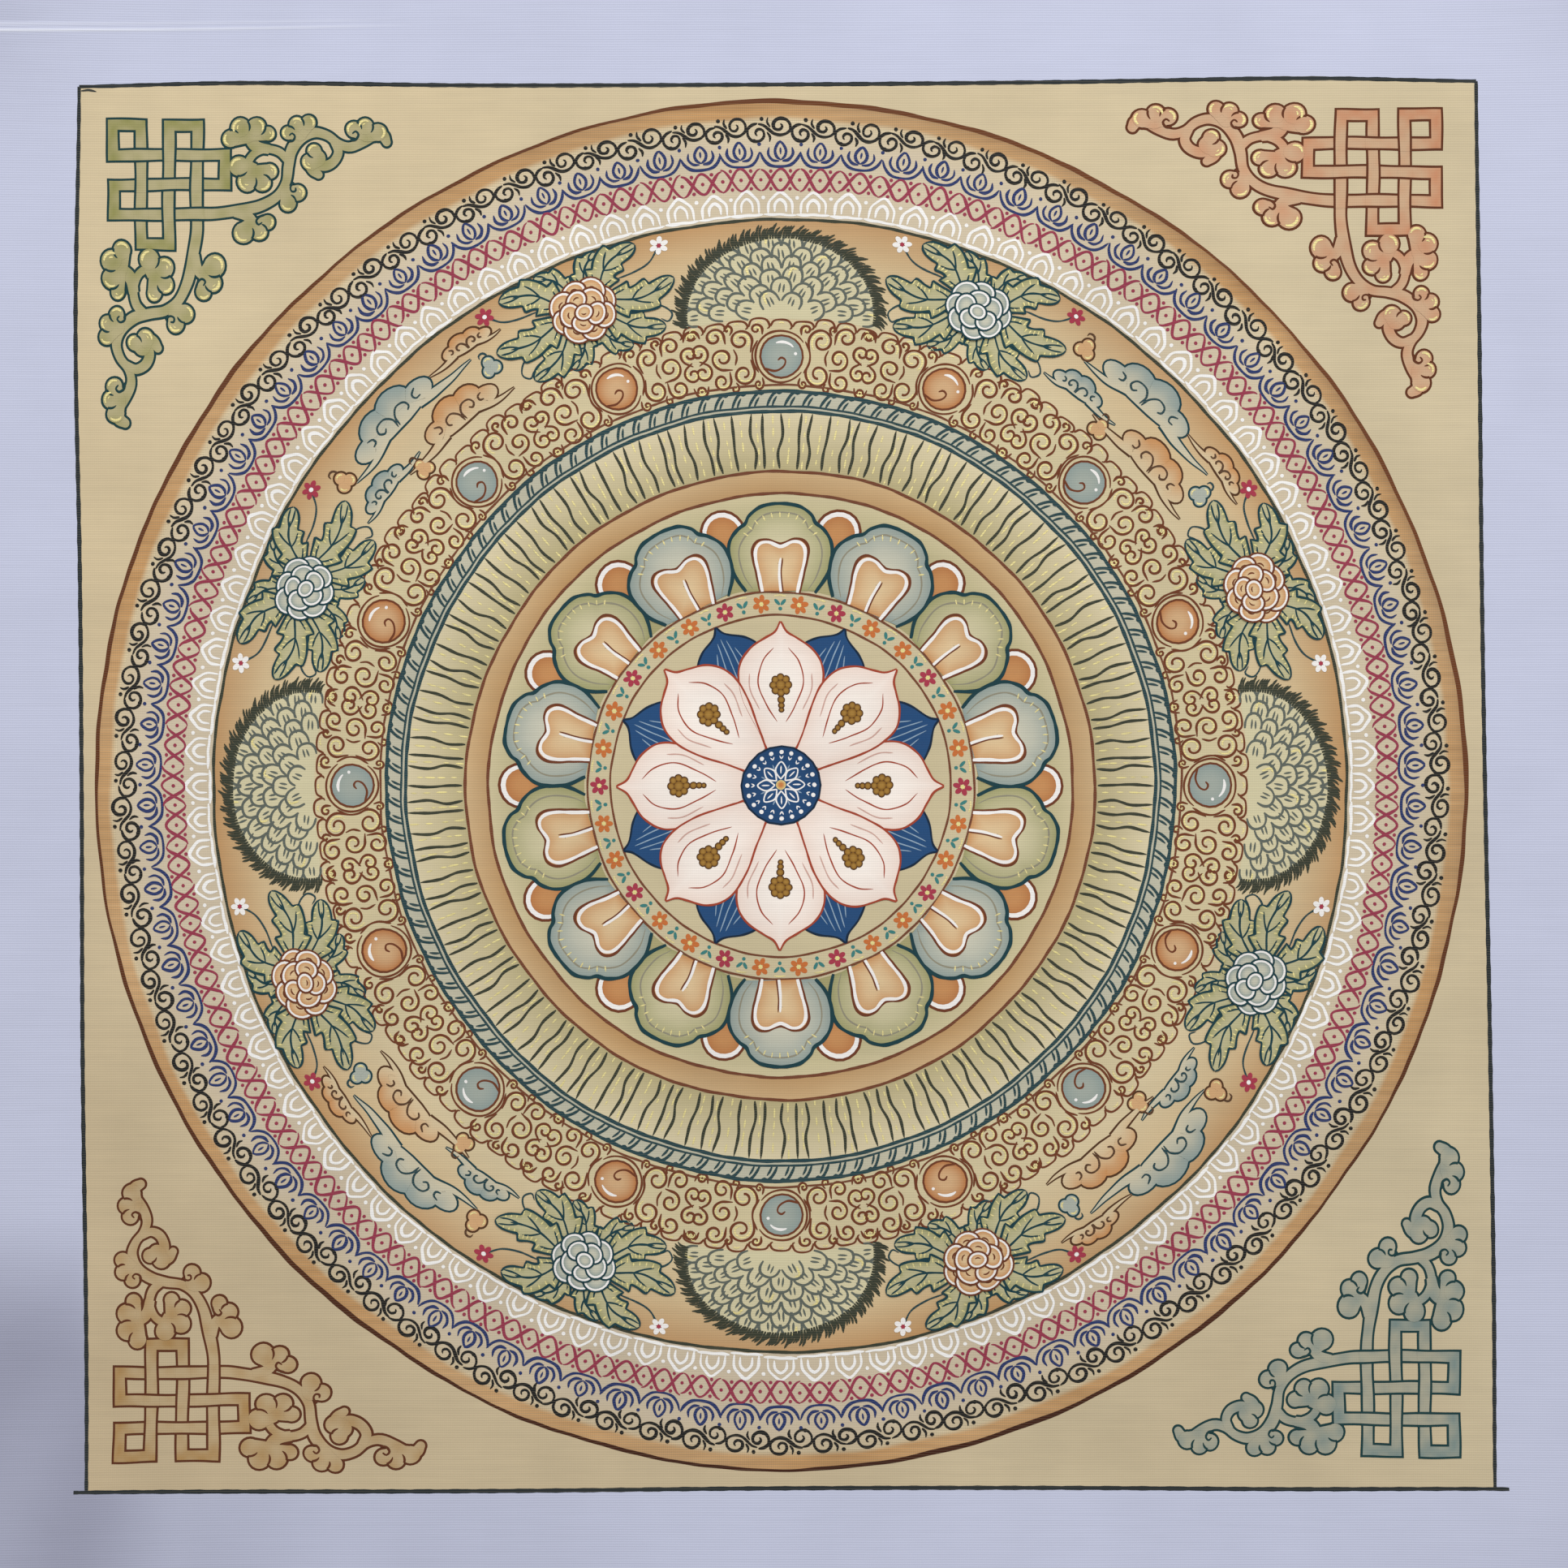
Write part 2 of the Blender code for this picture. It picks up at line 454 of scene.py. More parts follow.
    def make(self, name, paint_name, steady=False):
        """Makes the piece: lays every patch on the canvas's face, each face of it turned up."""
        places, lifts, tints, faces = zip(*self.patches)
        starts = np.cumsum([0] + [len(patch) for patch in places[:-1]])
        faces = np.vstack([patch + start for patch, start in zip(faces, starts)])
        places = np.vstack(places)
        if not steady:
            places = unsteady(places)
        a, b, c, d = (places[faces[:, corner]] for corner in range(4))
        cross = (c - a)[:, 0] * (d - b)[:, 1] - (c - a)[:, 1] * (d - b)[:, 0]
        faces = np.where((cross < 0.0)[:, None], faces[:, ::-1], faces)
        heights = sheet_rise(places[:, 0], places[:, 1]) + SHEET_THICKNESS + np.concatenate(lifts)
        mesh_piece(name, np.column_stack([places, heights]), faces, np.vstack(tints), paint(paint_name))


def mesh_piece(name, points, faces, tints, finish):
    """A piece from points in millimetres, that rides with the sheet and stays where it is drawn."""
    mesh = bpy.data.meshes.new(name)
    mesh.from_pydata((points * MM).tolist(), [], faces.tolist())
    pigment = mesh.color_attributes.new("pigment", "FLOAT_COLOR", "POINT")
    pigment.data.foreach_set("color", np.asarray(tints, np.float32).ravel())
    mesh.shade_smooth()
    mesh.materials.append(finish)
    made = bpy.data.objects.new(name, mesh)
    bpy.context.scene.collection.objects.link(made)
    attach(made, "root")
    return made


# ---------------------------------------------------------------- finishes


class Finish:
    """A new material and short ways to add and join its nodes."""

    def __init__(self, name, roughness=0.85):
        self.material = bpy.data.materials.new(name)
        self.material.use_nodes = True
        self.tree = self.material.node_tree
        self.shader = self.tree.nodes["Principled BSDF"]
        self.shader.inputs["Roughness"].default_value = roughness
        self.shader.inputs["Specular IOR Level"].default_value = 0.25

    def node(self, kind, inputs=None, **options):
        made = self.tree.nodes.new(kind)
        for key, value in options.items():
            setattr(made, key, value)
        for key, value in (inputs or {}).items():
            if isinstance(value, bpy.types.NodeSocket):
                self.tree.links.new(value, made.inputs[key])
            else:
                made.inputs[key].default_value = value
        return made

    def lead(self, name, value):
        self.tree.links.new(value, self.shader.inputs[name])

    def math(self, operation, first, second=0.0, third=0.0):
        return self.node("ShaderNodeMath", {0: first, 1: second, 2: third}, operation=operation).outputs[0]

    def mix(self, share, first, second, way="MIX"):
        made = self.node(
            "ShaderNodeMix", {"Factor": share, 6: first, 7: second}, data_type="RGBA", blend_type=way
        )
        return made.outputs[2]

    def spread(self, value, low, high, from_low=0.0, from_high=1.0):
        inputs = {"Value": value, "From Min": from_low, "From Max": from_high}
        inputs |= {"To Min": low, "To Max": high}
        return self.node("ShaderNodeMapRange", inputs).outputs["Result"]

    def noise(self, place, scale, detail=3.0):
        inputs = {"Vector": place, "Scale": scale, "Detail": detail, "Roughness": 0.55}
        return self.node("ShaderNodeTexNoise", inputs).outputs["Fac"]


WARP_SHARE = 0.86  # distance between the warp threads, as a share of that between the ribs
STREAK_SCALE = (60.0, 900.0, 60.0)  # much finer across the weft than along it


def cloth_nodes(finish):
    """The cotton's own unevenness: its place, its ribs, its streaks along the weft and its blotches."""
    rib = bpy.context.scene.painting_canvas.rib
    place = finish.node("ShaderNodeTexCoord").outputs["Object"]
    waver = {"Distortion": 2.6, "Detail": 2.0, "Detail Scale": 0.03, "Detail Roughness": 0.6}
    threads = []
    for apart, across in ((rib, "Y"), (rib * WARP_SHARE, "X")):
        wave = {"Vector": place, "Scale": 2.0 * math.pi / (20.0 * apart), **waver}
        made = finish.node("ShaderNodeTexWave", wave, wave_type="BANDS", bands_direction=across)
        threads.append(made.outputs["Fac"])
    ribs, warps = threads
    stretched = finish.node("ShaderNodeMapping", {"Vector": place, "Scale": STREAK_SCALE})
    streaks = finish.noise(stretched.outputs[0], 1.0, 2.0)
    blotches = finish.noise(place, 34.0, 4.0)
    return place, ribs, warps, streaks, blotches


def cloth_relief(finish, ribs, warps, streaks, depth):
    """Low relief of the threads, as bump, and a little unevenness of the shine."""
    threads = finish.math("MULTIPLY_ADD", warps, 0.35, ribs)
    height = finish.math("MULTIPLY_ADD", streaks, 1.2, threads)
    bump = finish.node("ShaderNodeBump", {"Height": height, "Strength": depth, "Distance": 0.00006})
    finish.lead("Normal", bump.outputs[0])


def painted_finish(
    name, ground, grain=0.05, blotch=0.08, dry=0.0, depth=0.35, rough=(0.78, 0.93), metal=0.0
):
    """Paint in the tints of the piece's points, thin enough that the ground and the ribs show in it.

    The grain and the blotches are shares of its lightness, dry is how far the brush skips between the
    ribs, depth is the strength of the relief, and rough is its least and most roughness.
    """
    finish = Finish(name)
    finish.shader.inputs["Metallic"].default_value = metal
    _, ribs, warps, streaks, blotches = cloth_nodes(finish)
    tint = finish.node("ShaderNodeAttribute", attribute_name="pigment")
    cover = finish.node("ShaderNodeAttribute", attribute_name="pigment").outputs["Alpha"]
    if dry:
        skips = finish.math("MULTIPLY", finish.spread(ribs, 1.0, 0.0, 0.0, 0.45), streaks)
        cover = finish.math("MULTIPLY", cover, finish.math("MULTIPLY_ADD", skips, -dry, 1.0))
    laid = finish.mix(cover, tuple(ground), tint.outputs["Color"])
    threads = finish.math("MULTIPLY_ADD", warps, 0.3, finish.math("MULTIPLY", ribs, 0.7))
    shade = finish.spread(threads, 1.0 - grain, 1.0 + grain)
    streak = grain * 0.6
    shade = finish.math("MULTIPLY", shade, finish.spread(streaks, 1.0 - streak, 1.0 + streak, 0.25, 0.75))
    shade = finish.math("MULTIPLY", shade, finish.spread(blotches, 1.0 - blotch, 1.0 + blotch, 0.25, 0.75))
    grey = finish.node("ShaderNodeCombineColor", {0: shade, 1: shade, 2: shade}).outputs[0]
    finish.lead("Base Color", finish.mix(1.0, laid, grey, "MULTIPLY"))
    finish.lead("Roughness", finish.spread(streaks, rough[0], rough[1], 0.3, 0.7))
    cloth_relief(finish, ribs, warps, streaks, depth)
    return finish.material


PAINTS = {
    # thin matt colour
    "thin_colour": {},
    # brush lines, a little broken where the brush skips from rib to rib
    "brush_ink": {"grain": 0.06, "dry": 0.16, "depth": 0.25, "rough": (0.6, 0.85)},
    # a wash rubbed on with a dry brush, so that it catches on the ribs
    "dry_wash": {"grain": 0.20, "blotch": 0.12, "dry": 0.45, "depth": 0.4},
    # pale gold strokes, sparse over the ribs and with a faint shine
    "pale_gold": {
        "grain": 0.12, "blotch": 0.10, "dry": 0.9, "depth": 0.4, "rough": (0.42, 0.6), "metal": 0.12,
    },
}


def paint(name):
    """The paint of that name on the field's ground, mixed the first time that a piece asks for it."""
    made = bpy.data.materials.get(name)
    return made or painted_finish(name, bpy.context.scene.painting_field.ground, **PAINTS[name])


# ---------------------------------------------------------------- canvas, field and circle

SHEET_LINES = 121  # of the mesh, each way
FOLD_STRIP = (157.0, 164.5)  # where the fold crosses the canvas, and its own rows take over
FOLD_ROWS = (157.6, 164.2, 0.22)  # from, to, step
FIELD_FOOT = -150.6  # lowest place of the field, from the sheet's middle
FIELD_HEIGHT = 300.1
FIELD_LINES = 81  # of the mesh, each way
WASH_WIDTH = 4.4
WASH_FADE = 0.38  # share of the wash's width over which its inner edge fades
FIELD_LIFT, OCHRE_LIFT, EDGE_LIFT, CIRCLE_LIFT = 0.02, 0.035, 0.05, 0.06


def make_canvas(settings):
    """The cut sheet, both faces and the cut edge, with its crease, its handling marks, painted shade at
    the bottom left and a painted highlight along the crease.
    """
    evenly = np.linspace(-SHEET_SIDE / 2.0, SHEET_SIDE / 2.0, SHEET_LINES)
    beside = (evenly < FOLD_STRIP[0]) | (evenly > FOLD_STRIP[1])
    x, y = np.meshgrid(evenly, np.sort(np.concatenate([evenly[beside], np.arange(*FOLD_ROWS)])))
    plan_x, plan_y = place_on_sheet(x, y)
    low = sheet_rise(plan_x, plan_y)
    fold = crease_rise(plan_x, plan_y)
    face = np.dstack([plan_x, plan_y, low + SHEET_THICKNESS + fold])
    back = np.dstack([plan_x, plan_y, low])
    index = np.arange(x.size).reshape(x.shape)
    above = grid_faces(index)
    rim = np.concatenate([index[0, :-1], index[:-1, -1], index[-1, :0:-1], index[:0:-1, 0]])
    after = np.roll(rim, -1)
    walls = np.stack([rim + x.size, after + x.size, after, rim], axis=1)
    points = np.vstack([face.reshape(-1, 3), back.reshape(-1, 3)])
    faces = np.vstack([above, above[:, ::-1] + x.size, walls])
    tints = np.vstack([margin_tints(plan_x, plan_y, fold, settings), back_tints(plan_x, plan_y, settings)])
    finish = painted_finish("primed_cotton", settings.priming, grain=0.025, blotch=0.035, depth=0.5)
    canvas = mesh_piece("primed_canvas", points, faces, tints, finish)
    canvas.data.set_sharp_from_angle(angle=math.radians(40.0))
    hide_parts("canvas")


def margin_tints(x, y, fold, settings):
    """Greyer towards the corners, partly handling marks and partly painted shade; painted shade at the
    bottom left and along the left part of the lower edge; a painted highlight along the crease.
    """
    corner = np.clip((abs(x) + abs(y) - 292.0) / 60.0, 0.0, 1.0) ** 1.5
    corner = corner * np.where((x < 0.0) & (y > 0.0), 0.36, 0.2)
    # painted shade: the margin darkened at the bottom left and along the left part of the lower edge
    shade_low_left = np.clip((-84.0 - y) / 40.0, 0.0, 1.0) * np.clip((-112.0 - x) / 40.0, 0.0, 1.0)
    shade_low_left = shade_low_left**2 * (3.0 - 2.0 * shade_low_left) * 0.66
    shade_under_left = np.clip((-140.0 - y) / 9.0, 0.0, 1.0) * np.clip((-20.0 - x) / 150.0, 0.0, 1.0) * 0.40
    waves = 1.0 + 0.12 * np.sin(0.07 * x + 0.05 * y) + 0.08 * np.sin(0.11 * y - 0.16 * x + 1.0)
    soil_and_shade = np.clip(np.maximum(np.maximum(corner, shade_low_left), shade_under_left) * waves, 0.0, 0.9)
    # painted highlight: the margin painted paler along the crease's ridge, where light catches it
    crease_highlight = np.clip(fold / CREASE[2], 0.0, 1.0) * 0.7
    tints = blend(settings.soil_and_shade, (0.86, 0.88, 0.95, 1.0), crease_highlight > 0.02)
    tints[..., 3] = np.maximum(soil_and_shade * (crease_highlight <= 0.02), crease_highlight)
    return tints.reshape(-1, 4)


def back_tints(x, y, settings):
    """Raw cotton, with priming that has come through in soft patches."""
    through = 0.5 + 0.25 * np.sin(0.05 * x + 0.02 * y) + 0.25 * np.sin(0.043 * y - 0.03 * x + 2.0)
    tints = np.empty(x.shape + (4,))
    tints[..., :3] = tuple(settings.raw)[:3]
    tints[..., 3] = 1.0 - 0.35 * through
    return tints.reshape(-1, 4)


def along_side(side, places, axis):
    """The other coordinate of a drawn side at given places along it."""
    table = np.asarray(sorted(side, key=lambda row: row[axis]))
    return np.interp(places, table[:, axis], table[:, 1 - axis])


# the field's tones: painted shade low down and painted light high up, and a greyer tone inside the circle
SHADED_TONE, LIT_TONE, ROW_TONE = linear("c2ab88"), linear("dcc7a0"), linear("d0c5b8", 0.75)
SOOT, DARK_BROWN = linear("6b432a"), linear("3c1400")


def field_tints(x, y):
    """The field's tone over its ground: warmer to the left, greyer in the circle, and painted light and
    shade, paler to the top and darker to the bottom.
    """
    warm = 0.5 - 0.5 * np.clip(x / 150.0, -1.0, 1.0)
    # painted light and shade: the field painted paler towards the top and darker towards the bottom
    tints = blend(SHADED_TONE, LIT_TONE, np.clip(0.55 + 0.0045 * y, 0.0, 1.0))
    tints[..., 3] = 0.12 + 0.42 * warm + 0.06 * np.sin(0.05 * x + 0.035 * y + 1.0)
    within = np.clip((143.0 - np.hypot(x - ROUND_MIDDLE[0], y - ROUND_MIDDLE[1])) / 5.0, 0.0, 1.0)
    return blend(tints, blend(tints, ROW_TONE, 0.6), within)


def make_field():
    """The tan field inside the dark line."""
    work = Brushwork()
    share = np.linspace(0.0, 1.0, FIELD_LINES)
    across, up = np.meshgrid(share, share)
    y = FIELD_FOOT + FIELD_HEIGHT * up
    left, right = along_side(FIELD_LEFT, y, 1), along_side(FIELD_RIGHT, y, 1)
    x = left + (right - left) * across
    low, high = along_side(FIELD_BOTTOM, x, 0), along_side(FIELD_TOP, x, 0)
    y = low + (high - low) * up
    work.weave_rows(np.dstack([x, y]), FIELD_LIFT, field_tints(x, y))
    work.make("painted_field", "thin_colour", steady=True)


def make_edge_line(settings):
    """The dark line round the field, run a little past two of its corners."""
    work = Brushwork()
    width = settings.edge_width / MM
    left, right = np.array(FIELD_BOTTOM[0]), np.array(FIELD_BOTTOM[-1])
    bottom = np.vstack([left - (EDGE_PAST[0], 0.0), FIELD_BOTTOM, right + (EDGE_PAST[1], -0.1)])
    for side in (FIELD_LEFT, FIELD_RIGHT, FIELD_TOP, bottom):
        work.line(side, width, settings.edge, EDGE_LIFT, ends=(0.8, 0.8), step=1.0)
    work.line(EDGE_SLIP, SLIP_WIDTH, settings.edge, EDGE_LIFT + 0.01)
    work.make("edge_line", "brush_ink", steady=True)


def circle_reach(angle):
    """Radius of the circle as it was drawn: slightly longer one way than the other."""
    return CIRCLE_RADIUS + 0.4 * np.cos(2.0 * (angle - 2.44))


def make_circle(settings):
    """The ochre wash inside the circle, and the brown line that holds it."""
    work = Brushwork()
    angle = np.linspace(0.0, 2.0 * math.pi, 720, endpoint=False)[:, None]
    depth = np.linspace(0.0, 1.0, 15)[None, :]
    swing = 0.5 * np.sin(angle + 0.6) + 0.3 * np.sin(3.0 * angle + 1.0) + 0.2 * np.sin(31.0 * angle)
    reach = circle_reach(angle) - depth * (WASH_WIDTH + swing)
    rows = round_about(ROUND_MIDDLE, reach, angle)
    sooty = np.clip(0.5 * np.cos(angle - 0.8) - 0.1, 0.0, 1.0) * np.clip(1.0 - 1.6 * depth, 0.0, 1.0)
    sooty = sooty + 0.12 * np.clip(1.0 - 3.0 * depth, 0.0, 1.0)
    tints = blend(settings.wash, SOOT, np.clip(sooty, 0.0, 0.85))
    load = 0.90 + 0.10 * np.sin(11.0 * angle + 2.0) * np.sin(5.0 * angle)
    fade = np.clip((1.0 - depth) / WASH_FADE, 0.0, 1.0)
    tints[..., 3] = load
    under = field_tints(rows[..., 0], rows[..., 1])
    work.weave_rows(rows, OCHRE_LIFT, blend(under, tints, fade**2 * (3.0 - 2.0 * fade)), closed=True)
    work.make("circle_wash", "dry_wash")
    line = Brushwork()
    angle = np.linspace(0.0, 2.0 * math.pi, 900)
    path = round_about(ROUND_MIDDLE, circle_reach(angle), angle)
    uneven = 0.18 * np.sin(5.0 * angle + 1.0) + 0.12 * np.sin(13.0 * angle) + 0.10 * np.sin(41.0 * angle)
    half = settings.circle_width / MM * (1.0 + uneven) / 2.0

    def shade(places):
        turn = np.arctan2(places[:, 1], places[:, 0])
        dark = 0.43 + 0.47 * np.cos(turn + 1.8) + 0.17 * np.cos(2.0 * turn + 2.6)
        return blend(settings.circle, DARK_BROWN, dark)

    line.band(path, half, CIRCLE_LIFT, shade, crown=0.01)
    line.make("circle_line", "brush_ink")


# ---------------------------------------------------------------- corners

# A cloud branch, measured from where its stem leaves the knot: x away from the knot along the
# field's side, y towards the middle of the field.
# place x, place y, width of the stem there
BRANCH_STEM = (
    (-2.5, 0.0, 2.1), (0.7, 0.0, 2.1), (4.0, -0.1, 2.1), (8.4, -0.8, 2.2), (13.4, -1.9, 2.2),
    (17.0, -3.9, 2.0), (19.0, -6.8, 1.8), (19.5, -10.2, 1.8), (20.3, -13.6, 2.0), (22.5, -16.4, 2.3),
    (25.5, -17.5, 2.2), (28.2, -16.8, 1.9), (30.4, -15.1, 1.7), (33.0, -14.4, 1.7), (35.6, -15.4, 2.1),
    (38.0, -17.0, 2.4),
)
# places of an arm that leaves the stem, width at its root, width at its tip
BRANCH_ARMS = (
    (
        (
            (19.5, -11.4), (17.6, -13.2), (14.8, -13.8), (12.0, -12.7), (10.7, -10.2), (11.4, -7.8),
            (13.5, -6.9), (15.4, -8.2),
        ),
        1.7, 1.5,
    ),
    (((15.6, -13.7), (12.6, -14.5), (11.2, -16.6)), 2.0, 2.8),
    (((29.6, -15.6), (30.5, -13.4), (29.5, -11.4), (27.4, -10.5), (25.2, -11.2)), 1.7, 2.2),
    (((8.0, -0.4), (10.8, 0.4), (12.2, 2.2)), 2.0, 2.2),
    (((38.4, -17.3), (40.2, -16.8), (41.0, -15.5)), 3.2, 1.8),
    (((24.5, -11.4), (24.9, -9.7), (26.2, -8.6)), 3.3, 1.7),
)
# heart x, heart y, then the lobes round it, in order: x, y, radius
BRANCH_CLOUDS = (
    ((11.8, -8.8), ((9.0, -10.3, 2.1), (10.6, -7.0, 2.05), (13.9, -6.7, 1.75), (15.6, -9.1, 1.55))),
    ((11.2, -17.0), ((7.2, -16.2, 1.85), (9.2, -18.5, 2.1), (12.7, -18.6, 2.0), (15.3, -17.2, 1.5))),
    ((12.4, 2.3), ((10.0, 3.9, 2.2), (13.3, 3.6, 1.75), (15.1, 1.5, 1.55))),
    ((19.4, -4.4), ((19.5, -2.5, 1.8), (21.6, -4.6, 1.7))),
    ((22.2, -17.4), ((19.8, -17.4, 1.5), (21.6, -19.3, 1.6), (24.2, -19.5, 1.6))),
    ((26.0, -12.0), ((25.2, -13.6, 1.5), (24.3, -11.2, 1.8))),
    ((36.6, -17.2), ((33.9, -18.0, 1.65), (36.3, -18.7, 1.7), (39.1, -17.5, 1.85))),
)
HEART_RADIUS = 1.7
# where the stem's edge curls into a cloud
BRANCH_HOOKS = (
    ((14.6, -0.2), (13.3, 0.3), (12.6, 1.2), (13.1, 2.0), (13.9, 1.5)),
    ((20.7, -6.8), (20.0, -5.8), (20.3, -4.9), (21.1, -5.0), (21.1, -5.7)),
    ((19.5, -15.5), (20.7, -15.7), (21.2, -16.6), (20.6, -17.3), (20.0, -16.8)),
    ((33.1, -15.7), (34.3, -15.9), (34.9, -16.9), (34.3, -17.6), (33.6, -17.1)),
)
BODY_STEP = 0.008  # each of a branch's overlapping forms lies this much over the one before
FORM_LIFT, WASH_LIFT = 0.05, 0.075  # the dark forms, and the washes over them
INNER_LIFT, GOLD_LIFT = 0.20, 0.22  # the lines over the washes, and the gold over those
STRAND_LIFT = 0.087
BODY_COVER = 0.48  # of the paler part of a knot's wash
GOLD_RIM, GOLD_CURL = (0.74, 0.5), (0.34, 0.36)  # radius as a share of the lobe's, width of the stroke
CROSSING_LIFTS = (0.106, 0.118)  # the dark form and the wash of a strand that crosses over another
KNOT_CROSSINGS = (1, 2, 3)  # their places along each side of the knot, in lattice steps
# The knot's one strand, over a lattice of three by three crossings, counted from its outer corner
KNOT_TURNS = (
    (3, 3), (0, 3), (0, 2), (4, 2), (4, 1), (0, 1), (0, 0), (1, 0), (1, 4), (2, 4), (2, 0), (3, 0), (3, 3),
)
# name: corner, signs of its axes, lattice start and steps, stretch of the level and of the upright
# branch, colour, line, whether it is gilded, whether its level strand is over where the upright one
# would be
CORNERS = {
    "top_left": (
        FIELD_TOP[0], (1, -1), (7.2, 7.9), (5.9, 6.4), (0.99, 1.08), "olive", "teal_line", True, False,
    ),
    "top_right": (
        FIELD_TOP[-1], (-1, -1), (8.4, 7.2), (6.8, 6.05), (1.09, 1.0), "salmon", "brown_line", True, True,
    ),
    "bottom_left": (
        FIELD_BOTTOM[0], (1, 1), (7.0, 7.5), (6.55, 5.95), (1.08, 0.98), "honey", "brown_line", False,
        True,
    ),
    "bottom_right": (
        FIELD_BOTTOM[-1], (-1, 1), (8.5, 8.0), (6.2, 6.65), (0.985, 1.09), "slate", "teal_line", False,
        False,
    ),
}


def cloud_gold(work, tint):
    """Pale gold touches inside the rims of the lobes, some long and some short."""
    for heart, lobes in BRANCH_CLOUDS:
        for number, (x, y, radius) in enumerate(lobes):
            out = math.degrees(math.atan2(y - heart[1], x - heart[0]))
            long = 30.0 * math.sin(x * 2.3 + y)
            start, end = out - 52.0 - long, out + 62.0 - 0.6 * long
            rim = arc((x, y), radius * GOLD_RIM[0], start, end)
            work.line(rim, GOLD_RIM[1], tint, GOLD_LIFT, (0.5, 0.4), step=0.35)
            if number % 2:
                curl = arc((x, y), radius * GOLD_CURL[0], out - 60.0, out + 10.0)
                work.line(curl, GOLD_CURL[1], tint, GOLD_LIFT, step=0.3)


def lobe_rims(work, width, tint):
    """The rim of each lobe, carried on in a curve over the next one."""
    for heart, lobes in BRANCH_CLOUDS:
        for (x, y, radius), (next_x, next_y, other) in zip(lobes, lobes[1:]):
            place, beyond = np.array([x, y]), np.array([next_x, next_y])
            apart = beyond - place
            gap = np.linalg.norm(apart)
            along = (radius**2 - other**2 + gap**2) / (2.0 * gap)
            high = math.sqrt(max(radius**2 - along**2, 0.0))
            ahead = apart / gap
            out = np.array([-ahead[1], ahead[0]])
            if out @ (place + beyond - 2.0 * np.asarray(heart)) < 0.0:
                out = -out
            notch = along * ahead + high * out
            start = math.degrees(math.atan2(notch[1], notch[0]))
            hand = 1.0 if ahead[0] * out[1] - ahead[1] * out[0] < 0.0 else -1.0
            path = arc(place, radius, start - hand * 10.0, start + hand * 56.0)
            work.line(path, width, tint, INNER_LIFT, (1.0, 0.3), step=0.3)


def branch_forms():
    """The forms of a branch: strips as (layer, path, half widths) and lobes as (layer, place, radius)."""
    stem = np.asarray(BRANCH_STEM)
    path = smooth_path(stem[:, :2], 0.6)
    widths = np.interp(np.linspace(0.0, 1.0, len(path)), np.linspace(0.0, 1.0, len(stem)), stem[:, 2])
    strips = [(0, path, widths / 2.0)]
    lobes = []
    for layer, (places, root, tip) in enumerate(BRANCH_ARMS, start=1):
        path = smooth_path(places, 0.4)
        strips.append((layer, path, np.linspace(root, tip, len(path)) / 2.0))
        lobes.append((layer, places[-1], tip / 2.0))
    under = len(strips)
    for heart, round_it in BRANCH_CLOUDS:
        lobes.append((under, heart, HEART_RADIUS))
        for layer, (x, y, radius) in enumerate(round_it, start=under + 1):
            strips.append((layer, even_path(np.array([heart, (x, y)]), 0.6), radius * 0.95))
            lobes.append((layer + len(round_it), (x, y), radius))
    return strips, lobes


def corner_shade(body, deep, stem):
    """The wash of a corner knot as a function of place: deeper away from the stem and in soft patches."""

    def shade(places):
        away = np.min(np.linalg.norm(places[:, None, :] - stem[None, ::3, :], axis=2), axis=1)
        x, y = places[:, 0], places[:, 1]
        patches = np.sin(0.9 * x + 0.4 * y) * np.sin(0.8 * y - 0.3 * x)
        return blend(body, deep, 0.08 + 0.05 * np.clip(away - 1.0, 0.0, 6.0) + 0.34 * patches)

    return shade


def set_at(origin, scale, upright=False):
    """Places a drawing at an origin, stretched or mirrored, and with x and y changed over if upright."""
    return lambda p: np.asarray(origin) + (p[:, ::-1] if upright else p) * scale


def draw_branch(work, body, deep, line, width, gold):
    """One cloud branch: a dark form, the body colour over it, then its inner lines and gold."""
    strips, lobes = branch_forms()
    shade = corner_shade(body, deep, strips[0][1])
    for layer, path, half in strips:
        work.band(path, half + width, FORM_LIFT, line)
        work.band(path, half, WASH_LIFT + BODY_STEP * layer, shade, 5)
    for layer, place, radius in lobes:
        work.dab(place, radius + width, line, FORM_LIFT)
        work.dab(place, radius, shade, WASH_LIFT + BODY_STEP * layer)
    lobe_rims(work, width * 0.9, line)
    for hook in BRANCH_HOOKS:
        work.line(hook, width * 0.9, line, INNER_LIFT, (1.0, 0.6), step=0.3)
    if gold is not None:
        cloud_gold(gold, bpy.context.scene.painting_disc.gold)


